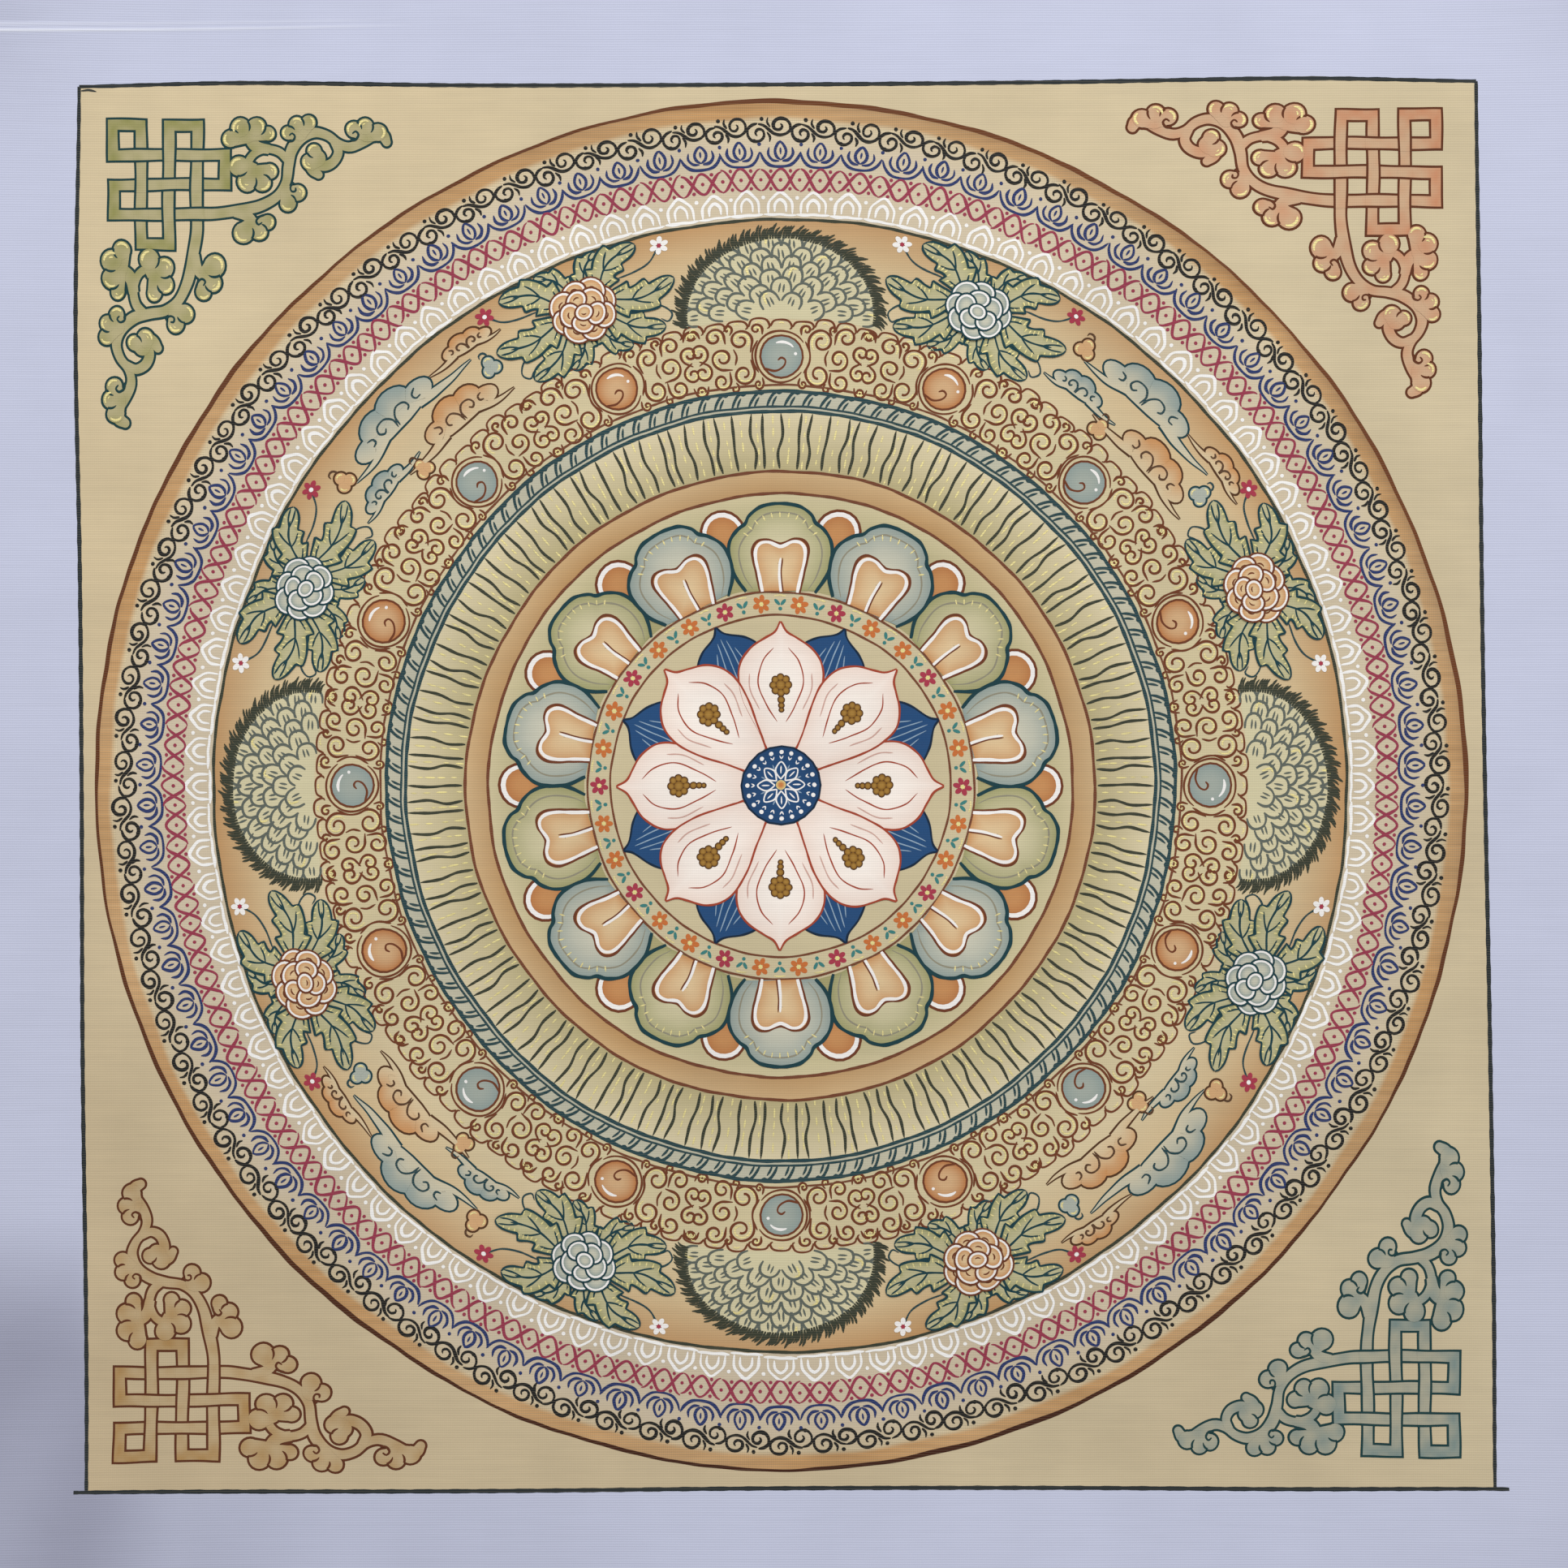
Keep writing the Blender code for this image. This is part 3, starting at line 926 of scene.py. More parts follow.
def draw_knot(work, steps, body, deep, line, strand, width, level_over):
    """The endless knot: one strand laid round the lattice, then its crossings raised in turn."""
    turns = np.asarray(KNOT_TURNS, float) * steps
    middle = 2.0 * np.asarray(steps)

    def shade(places):
        out = np.max(np.abs(places - middle) / middle, axis=1)
        patches = np.sin(1.3 * places[:, 0] + 1.0) * np.sin(1.1 * places[:, 1])
        return blend(body, deep, 0.75 * np.clip(out, 0.0, 1.0) ** 4 + 0.25 * patches)

    for number, (start, end) in enumerate(zip(turns, turns[1:])):
        ahead = (end - start) / np.linalg.norm(end - start)
        forms = ((strand / 2.0 + width, FORM_LIFT, line), (strand / 2.0, STRAND_LIFT, shade))
        for half, lift, tint in forms:
            path = even_path(np.array([start - ahead * half, end + ahead * half]), 1.0)
            work.band(path, half, lift + BODY_STEP * (number % 2), tint)
    for column in KNOT_CROSSINGS:
        for row in KNOT_CROSSINGS:
            ahead = np.eye(2)[0 if (column + row) % 2 == level_over else 1]
            crossing = np.array([column, row]) * steps
            reach = (strand / 2.0 + width + 0.05) * ahead
            path = even_path(np.array([crossing - reach, crossing + reach]), 0.8)
            work.band(path, strand / 2.0 + width, CROSSING_LIFTS[0], line)
            work.band(path, strand / 2.0, CROSSING_LIFTS[1], shade)


def make_corners(settings):
    """The four knots with their cloud branches, each in its own colours."""
    for name, facts in CORNERS.items():
        corner, signs, start, steps, stretch, body_name, line_name, gilded, level_over = facts
        work, gold = Brushwork(), Brushwork()
        deep = np.array(getattr(settings, body_name))
        body = covering(deep, BODY_COVER)
        line, width = tuple(getattr(settings, line_name)), settings.line / MM
        in_corner = set_at(np.array(corner) + np.array(signs) * start, signs)
        last = np.array(steps) * 3.0
        level = set_at(last, (stretch[0], 1.0))
        upright = set_at(last, (0.99, stretch[1]), upright=True)
        for branch in (level, upright):
            placed = gold.at(in_corner).at(branch) if gilded else None
            draw_branch(work.at(in_corner).at(branch), body, deep, line, width, placed)
        draw_knot(work.at(in_corner), steps, body, deep, line, settings.strand / MM, width, level_over)
        work.make(f"corner_knot_{name}", "thin_colour")
        if gilded:
            gold.make(f"corner_gold_{name}", "pale_gold")


# ---------------------------------------------------------------- rows of small ornament


def turned(path, centre):
    """The path turned half round a centre."""
    return [(2.0 * centre[0] - x, 2.0 * centre[1] - y) for x, y in path]


def flipped(path):
    """The path seen in a mirror that stands on the middle of the drawing."""
    return [(-x, y) for x, y in path]


def whole(half):
    """A path that is the same on both sides, from its right half, which starts in the middle."""
    return flipped(half)[::-1] + half[1:]


def vine_motif():
    """A length of running vine with a curl in each bend. Period 8.8."""
    stem = whole([(0.0, -1.1), (1.2, -0.8), (2.2, 0.0), (3.2, 0.8), (4.4, 1.1)])
    curl = [(1.9, -0.2), (2.0, 0.9), (1.2, 1.9), (-0.2, 2.1), (-1.2, 1.3), (-1.1, 0.2), (-0.1, -0.1)]
    curl += [(0.5, 0.6), (0.1, 1.1)]
    leaf = [(-1.9, 0.5), (-2.5, 1.4), (-2.3, 2.3)]
    half = (2.2, 0.0)
    return [stem, curl, leaf, turned(curl, half), turned(leaf, half)], [(-3.6, 2.0), (3.6, -2.0)]


def lotus_motif():
    """A lotus bud between two leaves, on a swag that joins it to the next. Period 7.4."""
    bud = whole([(0.0, 2.5), (1.0, 1.1), (0.8, -0.2), (0.0, -0.9)])
    leaf = [(0.3, -1.1), (1.5, -0.9), (2.3, 0.2), (2.1, 1.5)]
    swag = whole([(0.0, -2.2), (1.9, -1.9), (3.1, -0.8), (3.7, 0.6)])
    return [bud, leaf, flipped(leaf), swag, [(0.0, 1.4), (0.0, 0.2)]], [(3.7, 2.0)]


def twist_motif():
    """Two strands that cross, with a dot in each eye between them and beside each crossing. Period 6.8."""
    period = 6.8
    shares = np.linspace(-0.5, 0.5, 13)
    strand = [(share * period, 2.1 * math.cos(2.0 * math.pi * share)) for share in shares]
    seeds = [(0.0, 0.0), (period / 2.0, 0.0)]
    for side in (-period / 4.0, period / 4.0):
        seeds += [(side, 1.7), (side, -1.7)]
    return [strand, [(x, -y) for x, y in strand]], seeds


def petal_motif():
    """A lotus petal within a petal, on a border line, with a pearl beside it. Period 6.2."""
    outer = whole([(0.0, 2.4), (1.3, 1.4), (2.2, 0.2), (2.3, -1.9)])
    inner = whole([(0.0, 0.9), (1.0, 0.0), (1.1, -1.6)])
    border = whole([(0.0, -2.1), (1.5, -2.2), (3.1, -2.1)])
    return [outer, inner, border], [(3.1, 1.2)]


# name, radius of the row, motif, its period, how many times it goes round, load of the brush
ROWS = (
    ("black", 140.1, vine_motif, 8.8, 94, 1.03),
    ("blue", 134.8, lotus_motif, 7.4, 98, 0.93),
    ("red", 129.6, twist_motif, 6.8, 96, 0.91),
    ("white", 124.4, petal_motif, 6.2, 108, 0.96),
)
ROW_LIFT = 0.07


def make_rows(settings):
    """The four rings of small brush ornament between the circle and the disc."""
    for name, radius, motif, period, count, fullness in ROWS:
        work = Brushwork()
        width = settings.line / MM * fullness
        tint = getattr(settings, name)
        strokes, seeds = motif()
        stretch = 2.0 * math.pi * radius / count / period
        for turn in range(count):
            degrees = 90.0 + 360.0 * turn / count + 0.06 * math.sin(turn * 1.9)
            place = work.at(on_ring(degrees, radius + 0.12 * math.sin(turn * 2.7)))
            size = (stretch, 1.10 + 0.06 * math.sin(turn * 2.4))
            for number, stroke in enumerate(strokes):
                load = width * (1.0 + 0.14 * math.sin(turn * 3.1 + number * 2.3))
                place.line(np.asarray(stroke) * size, load, tint, ROW_LIFT, step=0.42)
            for seed in seeds:
                place.dab(np.asarray(seed) * size, width * 0.68, tint, ROW_LIFT)
        work.make(f"ornament_row_{name}", "brush_ink")


# ---------------------------------------------------------------- disc: shared motifs


class Painting:
    """The three kinds of work in a motif: thin colour, brush lines over it and pale gold on top."""

    def __init__(self, colour=None, ink=None, gold=None):
        self.colour = colour or Brushwork()
        self.ink = ink or Brushwork()
        self.gold = gold or Brushwork()

    def at(self, place):
        return Painting(self.colour.at(place), self.ink.at(place), self.gold.at(place))

    def make(self, name):
        endings = {"colour": "thin_colour", "lines": "brush_ink", "gold": "pale_gold"}
        for work, (ending, paint_name) in zip((self.colour, self.ink, self.gold), endings.items()):
            if work.patches:
                work.make(f"{name}_{ending}", paint_name)


def line_widths(settings):
    """The fine, usual and bold widths of the disc's brush lines, in millimetres."""
    usual = settings.line / MM
    return 0.75 * usual, usual, 1.35 * usual


def shifted(x, y, scale=1.0, turn=0.0, hand=1.0):
    """Places a drawing at another spot of a drawing, at another size, turn or hand."""
    cos, sin = math.cos(math.radians(turn)), math.sin(math.radians(turn))

    def place(p):
        q = p * (hand * scale, scale)
        return np.stack([x + q[:, 0] * cos - q[:, 1] * sin, y + q[:, 0] * sin + q[:, 1] * cos], axis=1)

    return place


def on_circle(radius, degrees, flat=1.0):
    """A place on a circle, or on an oval if its height is another share of its width."""
    angle = math.radians(degrees)
    return np.array([radius * math.cos(angle), radius * flat * math.sin(angle)])


def both_sides(half_outline):
    """The whole outline of a form that is the same on both sides, from its right half, base to tip."""
    right = smooth_path(half_outline)
    return np.vstack([right * (-1.0, 1.0), right[::-1][1:]])


OVER = 0.012  # a line lies this much over the colour that it edges


def petal_form(art, half_outline, middle, colours, line, width, lift):
    """A petal that is the same on both sides, with a brush line round it."""
    outline = both_sides(half_outline)
    art.colour.fan(outline, middle, lift, *colours)
    art.colour.line(outline, width, line, lift + OVER, (0.8, 0.8), smooth=False)


LEAF_TEETH = 3


def leaf(art, base, tip, bend, breadth, settings, lift):
    """A toothed leaf along a bent spine, with its edges, its veins and touches of gold."""
    base, tip = np.asarray(base), np.asarray(tip)
    ahead = (tip - base) / np.linalg.norm(tip - base)
    spine = smooth_path([base, (base + tip) / 2.0 + np.array([-ahead[1], ahead[0]]) * bend, tip], 0.4)
    side = sideways(spine)
    share = np.linspace(0.0, 1.0, len(spine))
    tooth = 0.60 + 0.42 * (share * LEAF_TEETH % 1.0) ** 1.3
    half = breadth / 2.0 * np.sin(math.pi * share**0.75) ** 0.6 * tooth * (share < 0.999)
    half = np.maximum(half, 0.04)[:, None]
    over = np.linspace(-1.0, 1.0, 5)
    rows = spine[:, None, :] + side[:, None, :] * (half * over)[..., None]
    shade = np.broadcast_to(0.4 + 0.6 * over**2, rows.shape[:2])
    art.colour.weave_rows(rows, lift, blend(settings.pale_sage, settings.sage, shade))
    fine, usual, _ = line_widths(settings)
    line, lift = settings.teal_line, lift + OVER
    vein = spine[: int(len(spine) * 0.82)]
    art.colour.line(vein, usual, line, lift, (0.9, 0.3), smooth=False, step=0.4)
    for hand in (-1.0, 1.0):
        out = hand * side * half
        art.colour.line(spine + out, usual * 1.1, line, lift, (0.8, 0.5), smooth=False, step=0.4)
        for number in range(LEAF_TEETH):
            root = spine[int(len(spine) * (number + 0.25) / LEAF_TEETH * 0.9)]
            reach = min(int(len(spine) * (number + 0.85) / LEAF_TEETH), len(spine) - 1)
            end = spine[reach] + out[reach] * 0.62
            knee = (root + end) / 2.0 + hand * side[reach] * 0.25
            art.colour.line([root, knee, end], fine * 1.1, line, lift, (0.5, 0.3), step=0.4)
        for number in range(3, len(spine) - 4, 3):
            touch = [spine[number] + out[number] * 0.86, spine[number] + out[number] * 0.55]
            art.gold.line(touch, fine, settings.gold, lift, smooth=False)


# distance of the petals from the middle and their radius, as shares of the blossom's, and how many
BLOSSOM_ROWS = ((0.66, 0.36, 8), (0.40, 0.31, 5), (0.06, 0.25, 1))
BLOSSOM_FLAT = 0.85  # a blossom's height as a share of its width
BLOSSOM_LIFT, BLOSSOM_STEP = 0.40, 0.032  # under the first petal, and from each petal to the next


def blossom(art, radius, colours, line, settings, creased):
    """A full blossom of round petals, each with a pale rim, the middle ones over the outer ones."""
    _, width, _ = line_widths(settings)
    lift = BLOSSOM_LIFT
    for number, (share, size, count) in enumerate(BLOSSOM_ROWS):
        for turn in range(count):
            degrees = 360.0 * (turn + 0.35 * number) / count + 8.0
            out = on_circle(radius, degrees, BLOSSOM_FLAT)
            reach = radius * size * (1.0 + 0.09 * math.sin(2.6 * turn + 1.7 * number))
            lift += BLOSSOM_STEP
            for wide, tint, rim, over in (
                (reach + width, line, None, 0.0),
                (reach, covering(settings.white, 0.95), None, 0.008),
                (reach - 0.48, colours[0], colours[1], 0.016),
            ):
                tall = wide * BLOSSOM_FLAT
                art.colour.dab(out * share, wide, tint, lift + over, rim, tall, degrees - 90.0)
            if creased:
                heart = out * (share - size * 0.2)
                fold = arc(heart, radius * size * 0.42, degrees - 55.0, degrees + 35.0)
                art.colour.line(fold, width * 0.8, line, lift + 0.022, step=0.3)


def star_flower(art, x, y, radius, body, heart, lift):
    """A small plain flower: six dabs round a heart."""
    for turn in range(6):
        degrees = 60.0 * turn + 17.0
        centre = on_circle(radius * 0.62, degrees) + (x, y)
        art.colour.dab(centre, radius * 0.40, body, lift, across=radius * 0.28, turn=degrees)
    art.colour.dab((x, y), radius * 0.24, heart, lift + 0.01)


# ---------------------------------------------------------------- disc: ground and rings

# inner radius, outer radius, colour inside, colour outside, rings of the mesh
GROUNDS = (
    (0.3, 42.0, "c6b98f", "cec09c", 10),
    (42.0, 52.0, "a39d6c", "a8a171", 4),
    (52.0, 62.4, "a8a171", "d0c49c", 6),
    (62.4, 67.2, "b88d5a", "cda97a", 4),
    (67.2, 80.0, "b3a779", "dccfab", 8),
    (80.0, 84.4, "b9b8a4", "c0beaa", 3),
    (84.4, 98.6, "d2c59e", "d3c49c", 6),
    (98.6, 112.0, "d8c7a1", "d3b88d", 8),
    (112.0, 121.0, "d3b88d", "bd8f5d", 8),
)
RING_LINES = (  # radius, width, colour
    (62.4, 0.62, "brown_line"),
    (67.2, 0.62, "brown_line"),
    (80.1, 0.72, "teal_line"),
    (81.1, 0.45, "teal_line"),
    (84.3, 0.72, "teal_line"),
    (85.6, 0.46, "brown_line"),
    (DISC_RADIUS, 0.62, "dark_line"),
)
GROUND_SPOKES = 360  # of the mesh
GROUND_LIFT, RING_LIFT = 0.07, 0.12


def make_disc_ground(settings):
    """The disc's ground colours, ring by ring, and the lines between them."""
    ground = Brushwork()
    turn = np.linspace(0.0, 2.0 * math.pi, GROUND_SPOKES, endpoint=False)
    for inner, outer, first, last, rings in GROUNDS:
        reach, angle = np.meshgrid(np.linspace(inner, outer, rings + 1), turn)
        tints = blend(linear(first), linear(last), (reach - inner) / (outer - inner))
        tints[..., 3] = 0.86 + 0.10 * np.sin(3.0 * angle + reach * 0.07) * np.sin(7.0 * angle + 1.0)
        ground.weave_rows(round_about(ROUND_MIDDLE, reach, angle), GROUND_LIFT, tints, closed=True)
    ground.make("disc_ground", "thin_colour")
    lines = Brushwork()
    for radius, width, tint in RING_LINES:
        lines.circle_line(radius, width, getattr(settings, tint), RING_LIFT)
    lines.make("disc_rings", "brush_ink")


RAYS = 144
RAY_START = 67.8  # radius
RAY_LENGTH = 11.9
RAY_BENDS = (3.6, 7.4)  # how far along it a ray sways to one side and to the other
DASHES = 4  # of gold, between two rays
DASH_STEP = 2.9
DASH_END = 12.0
RAY_LIFT, DASH_LIFT, ROPE_LIFT = 0.10, 0.11, 0.115
ROPE_RADIUS = 82.6
ROPE_STRANDS = 138
# The brush strokes of one strand: path, whether it is bold, how far each end is lifted off
ROPE_STROKES = (
    (((-1.1, -1.5), (-0.5, -0.2), (0.3, 1.0), (0.9, 1.5)), True, (0.6, 0.9)),
    (((0.1, -1.4), (0.5, -0.4), (1.1, 0.6)), False, (0.6, 0.4)),
    (((0.9, 1.6), (1.6, 1.2), (2.3, 1.6)), True, (0.4, 0.4)),
)


def make_rays(settings):
    """Fine waving rays with broken gold between them, and the rope band round them."""
    art = Painting()
    fine, usual, bold = line_widths(settings)
    for turn in range(RAYS):
        place = art.at(on_spoke(turn * 360.0 / RAYS + 0.5 * math.sin(turn * 2.1), RAY_START))
        sway = 0.45 * math.sin(turn * 1.7)
        ray = [(0.0, 0.0), (sway, RAY_BENDS[0]), (-sway, RAY_BENDS[1]), (0.2, RAY_LENGTH)]
        place.ink.line(ray, bold, settings.dark_line, RAY_LIFT, step=0.7)
    for turn, place in around(art, RAYS, on_spoke, RAY_START, 180.0 / RAYS):
        for dash in range(DASHES):
            start = 0.5 + DASH_STEP * dash + 0.7 * math.sin(turn * 3.3 + dash)
            end = min(start + 1.7 + 0.6 * math.sin(turn * 1.3 + 2.0 * dash), DASH_END)
            stroke = [(0.0, start), (0.05, end)]
            place.gold.line(stroke, fine, settings.gold, DASH_LIFT, smooth=False, step=0.6)
    for _, place in around(art, ROPE_STRANDS, on_ring, ROPE_RADIUS):
        for stroke, is_bold, ends in ROPE_STROKES:
            width = bold if is_bold else usual
            place.ink.line(stroke, width, settings.teal_line, ROPE_LIFT, ends, step=0.4)
    art.make("rays_and_rope")


BAND_RADIUS = 91.6
BAND_REPEATS = 16
BAND_HALF = 17.95  # half of a repeat, as it is drawn below
# One half of the scroll band's repeat: distance along the band, place across it, radius, start, turns
BAND_SCROLLS = (
    (8.3, 3.6, 2.5, 205.0, -1.35), (8.2, -3.4, 2.6, 150.0, 1.35), (12.3, 0.3, 2.3, 262.0, 1.3),
    (13.4, 4.9, 2.0, 190.0, -1.25), (13.1, -4.5, 2.1, 165.0, 1.3), (17.0, 2.2, 1.9, 250.0, -1.2),
    (16.9, -2.2, 1.9, 110.0, 1.2), (5.0, 5.8, 1.15, 200.0, -1.1), (5.0, -5.7, 1.1, 150.0, 1.1),
    (10.6, 6.2, 0.9, 230.0, -1.0), (10.3, -6.3, 0.9, 130.0, 1.0), (17.9, 6.0, 1.3, 180.0, -1.1),
    (17.9, -5.9, 1.3, 180.0, 1.1),
)
BAND_STEMS = (((4.9, 3.4), (6.0, 1.2), (6.0, -1.2), (4.9, -3.4)), ((9.9, 1.9), (9.4, 0.3), (9.9, -1.4)))
SCROLL_TAIL = 0.66  # length of the straight tail of a scroll, as a share of its radius
GOLD_INSET = 0.42  # from a scroll's line in to its gold
BAND_LOBES = 132
LOBE_RADIUS = 98.3
SCROLL_LIFT, LOBE_LIFT = 0.11, 0.125
GILDING = 0.01  # the gold lies this much over the line beside it


def band_scrolls(art, turn, settings):
    """The scrolls on both sides of a stone, with gold inside each."""
    fine, usual, _ = line_widths(settings)
    stretch = math.pi * BAND_RADIUS / BAND_REPEATS / BAND_HALF
    for hand in (-1.0, 1.0):
        half = art.at(set_at((0.0, 0.0), (hand * stretch, 1.0)))
        for x, y, radius, start, turns in BAND_SCROLLS:
            swelled = radius * (1.0 + 0.08 * math.sin(turn * 2.3 + x * hand))
            path = spiral((x, y), swelled * 1.05, start, turns)
            back = (path[0] - path[1]) / np.linalg.norm(path[0] - path[1])
            scroll = np.vstack([path[0] + back * radius * SCROLL_TAIL, path])
            half.colour.line(scroll, usual * 1.15, settings.brown_line, SCROLL_LIFT, (0.4, 0.9), step=0.42)
            inside = spiral((x, y), swelled - GOLD_INSET, start + 25.0, turns * 0.72)
            half.gold.line(inside, fine, settings.gold, SCROLL_LIFT + GILDING, (0.5, 0.5), step=0.5)
        for stem in BAND_STEMS:
            half.colour.line(stem, usual, settings.brown_line, SCROLL_LIFT)


STONE_HOOK = ((-3.6, -2.6), (-1.4, -3.1), (0.4, -2.2), (0.9, -0.9), (0.0, -0.3), (-0.8, -0.9))
STONE_RADIUS = 4.3
STONE_RIM = 4.75
RING_ROUND_IT = (5.5, 35.0, 325.0)  # radius, and the angles between which it is drawn
CRESCENT = (3.1, 40.0, 112.0)
SPARK = ((2.9, 0.7), 0.34)  # place and radius
RIM_LIFT, STONE_LIFT, LIGHT_LIFT = 0.12, 0.135, 0.15


def round_stone(art, pale, deep, settings):
    """A round stone in its ring, with a curl inside it and a crescent of light."""
    _, usual, bold = line_widths(settings)
    brown, white = settings.brown_line, settings.white
    art.colour.line(arc((0.0, 0.0), *RING_ROUND_IT), usual, brown, SCROLL_LIFT, (0.4, 0.4))
    art.colour.dab((0.0, 0.0), STONE_RIM, brown, RIM_LIFT)
    art.colour.dab((0.0, 0.0), STONE_RADIUS, pale, STONE_LIFT, rim=deep)
    art.colour.line(arc((0.0, 0.0), *CRESCENT), bold, white, LIGHT_LIFT, (0.3, 0.3), step=0.3)
    art.colour.dab(*SPARK, white, LIGHT_LIFT)
    art.colour.line(STONE_HOOK, usual, brown, LIGHT_LIFT, (0.9, 0.5), step=0.4)


def make_scroll_band(settings):
    """The band of brown scrolls with gold inside them, its round stones and its lobed outer edge."""
    art = Painting()
    fine, usual, _ = line_widths(settings)
    slate = (blend(settings.pale_slate, settings.slate, 0.7), settings.slate)
    clay = (blend(settings.pale_ochre, settings.clay, 0.35), settings.clay)
    for turn, place in around(art, BAND_REPEATS, on_ring, BAND_RADIUS, 90.0):
        band_scrolls(place, turn, settings)
        round_stone(place, *(clay if turn % 2 else slate), settings)
    for turn, place in around(art, BAND_LOBES, on_ring, LOBE_RADIUS):
        high = 1.2 + 0.35 * math.sin(turn * 1.9)
        lobe = whole([(0.0, high), (1.6, high * 0.75), (2.25, -0.3)]) + [(1.7, -0.8)]
        place.colour.line(lobe, usual, settings.brown_line, LOBE_LIFT, (0.7, 0.5), step=0.45)
        touch = arc((0.0, 0.0), high * 0.55, 150.0, 30.0)
        place.gold.line(touch, fine, settings.gold, LOBE_LIFT + GILDING, step=0.4)
    art.make("scroll_band")


# ---------------------------------------------------------------- disc: frieze

# distance of the motifs' middles from the disc's
MOUND_RADIUS = 99.6
SPRAY_RADIUS = 109.9
CLOUD_RADIUS = 109.8
MOUND_WIDE, MOUND_TALL = 20.5, 18.0
SCALE_STEP = 2.4  # from one row of scales to the next
SCALE_ROWS = 6
SCALE_WIDE = 3.5  # about how far apart the scales of a row are
MOUND_TUFTS = 26
TUFT_BLADES = 5
MOUND_LIFT, SCALE_LIFT, TOUCH_LIFT, TUFT_LIFT = 0.10, 0.135, 0.15, 0.16


def feather_scale(art, half, high, lean, settings):
    """One scale: its rim and two short strokes inside it."""
    fine, usual, _ = line_widths(settings)
    line = covering(settings.teal_line, 0.85)
    rim = whole([(0.0, high), (half * 0.6, high * 0.88), (half * 0.96, high * 0.45), (half, -0.2)])
    art.ink.line(rim, usual * 1.15, line, SCALE_LIFT, (0.7, 0.7), step=0.45)
    for foot, top, share in ((-0.45, -0.4, 0.58), (0.45, 0.35, 0.5)):
        stroke = [(foot, -0.3), (lean + top, high * share)]
        art.ink.line(stroke, fine * 1.2, line, SCALE_LIFT, smooth=False)


def feather_mound(art, settings):
    """A mound of overlapping scales, each row between the last one's, with dark tufts along its top."""
    _, usual, _ = line_widths(settings)
    flat = MOUND_TALL / MOUND_WIDE
    rim = [on_circle(MOUND_WIDE, degrees, flat) for degrees in range(0, 181, 5)]
    ground = even_path(np.array(rim + rim[:1]), 1.6)[:-1]
    art.colour.fan(ground, (0.0, 2.0), MOUND_LIFT, settings.pale_sage, settings.pale_sage)
    for row in range(SCALE_ROWS):
        reach = MOUND_TALL - SCALE_STEP * (row + 1)
        low = math.degrees(math.asin(min(1.9 / reach, 1.0)))
        span = math.radians(180.0 - 2.0 * low) * reach
        count = max(1, round(span / SCALE_WIDE))
        for number in range(count + 1 - row % 2):
            degrees = low + (180.0 - 2.0 * low) * (number + 0.5 * (row % 2)) / count
            place = art.at(shifted(*on_circle(reach / flat, degrees, flat), 1.0, degrees - 90.0))
            high = 2.75 + 0.3 * math.sin(number * 2.7 + row)
            lean = 0.25 * math.sin(number * 1.9 + row)
            feather_scale(place, span / count * 0.54, high, lean, settings)
            if (number * 3 + row * 5) % 7 == 0:
                touch = [(-0.9, 0.6), (-0.5, high * 0.8), (0.5, high * 0.8)]
                place.gold.line(touch, usual, settings.gold, TOUCH_LIFT, step=0.4)
    for number in range(MOUND_TUFTS):
        degrees = 5.0 + 170.0 * number / (MOUND_TUFTS - 1.0)
        place = art.at(shifted(*on_circle(MOUND_WIDE, degrees, flat), 1.0, degrees - 90.0))
        for blade in range(TUFT_BLADES):
            foot = -1.05 + 0.5 * blade
            high = 1.5 + 0.8 * math.sin(0.8 * blade + 0.3) + 0.35 * math.sin(number * 1.7 + blade * 2.2)
            path = [(foot - 0.3, -0.8), (foot, high * 0.5), (foot + 0.7, high)]
            place.ink.line(path, usual, settings.dark_line, TUFT_LIFT, (0.8, 0.3), step=0.4)


SPRAY_LEAVES = (  # base, tip, bend, breadth
    ((-1.4, -4.0), (-8.0, -10.6), 1.2, 6.4), ((1.4, -4.0), (7.6, -10.8), -1.2, 6.4),
    ((-1.6, 4.6), (-6.8, 10.6), -1.0, 5.8), ((1.6, 4.6), (6.4, 10.7), 1.0, 5.8),
    ((-4.0, -2.0), (-16.6, -8.6), 1.9, 8.4), ((4.0, -2.0), (16.4, -8.8), -1.9, 8.4),
    ((-4.0, 2.4), (-15.0, 9.4), -1.9, 8.2), ((4.0, 2.4), (14.2, 9.8), 1.9, 8.0),
    ((-5.0, 0.4), (-20.6, 0.6), 2.1, 8.2), ((5.0, 0.4), (20.6, 1.0), -2.1, 8.2),
)
SPRAY_TENDRILS = (  # the right one of each pair
    ((10.0, -4.2), (13.6, -3.6), (16.6, -4.2), (18.4, -6.2), (17.2, -7.8), (15.8, -6.8)),
    ((9.0, 4.0), (13.0, 4.4), (16.4, 5.6), (18.8, 8.4)),
)
SPRAY_FLOWER = (18.8, 8.4)  # place of the right one of the two small flowers
SMALL_FLOWER = 1.9  # radius
OCHRE_BLOSSOM, SLATE_BLOSSOM = 7.6, 7.2  # radius
LEAF_LIFT, LEAF_STEP = 0.12, 0.026  # the lowest leaf's lift, and from each leaf to the next
TENDRIL_LIFT, FLOWER_LIFT = 0.14, 0.17


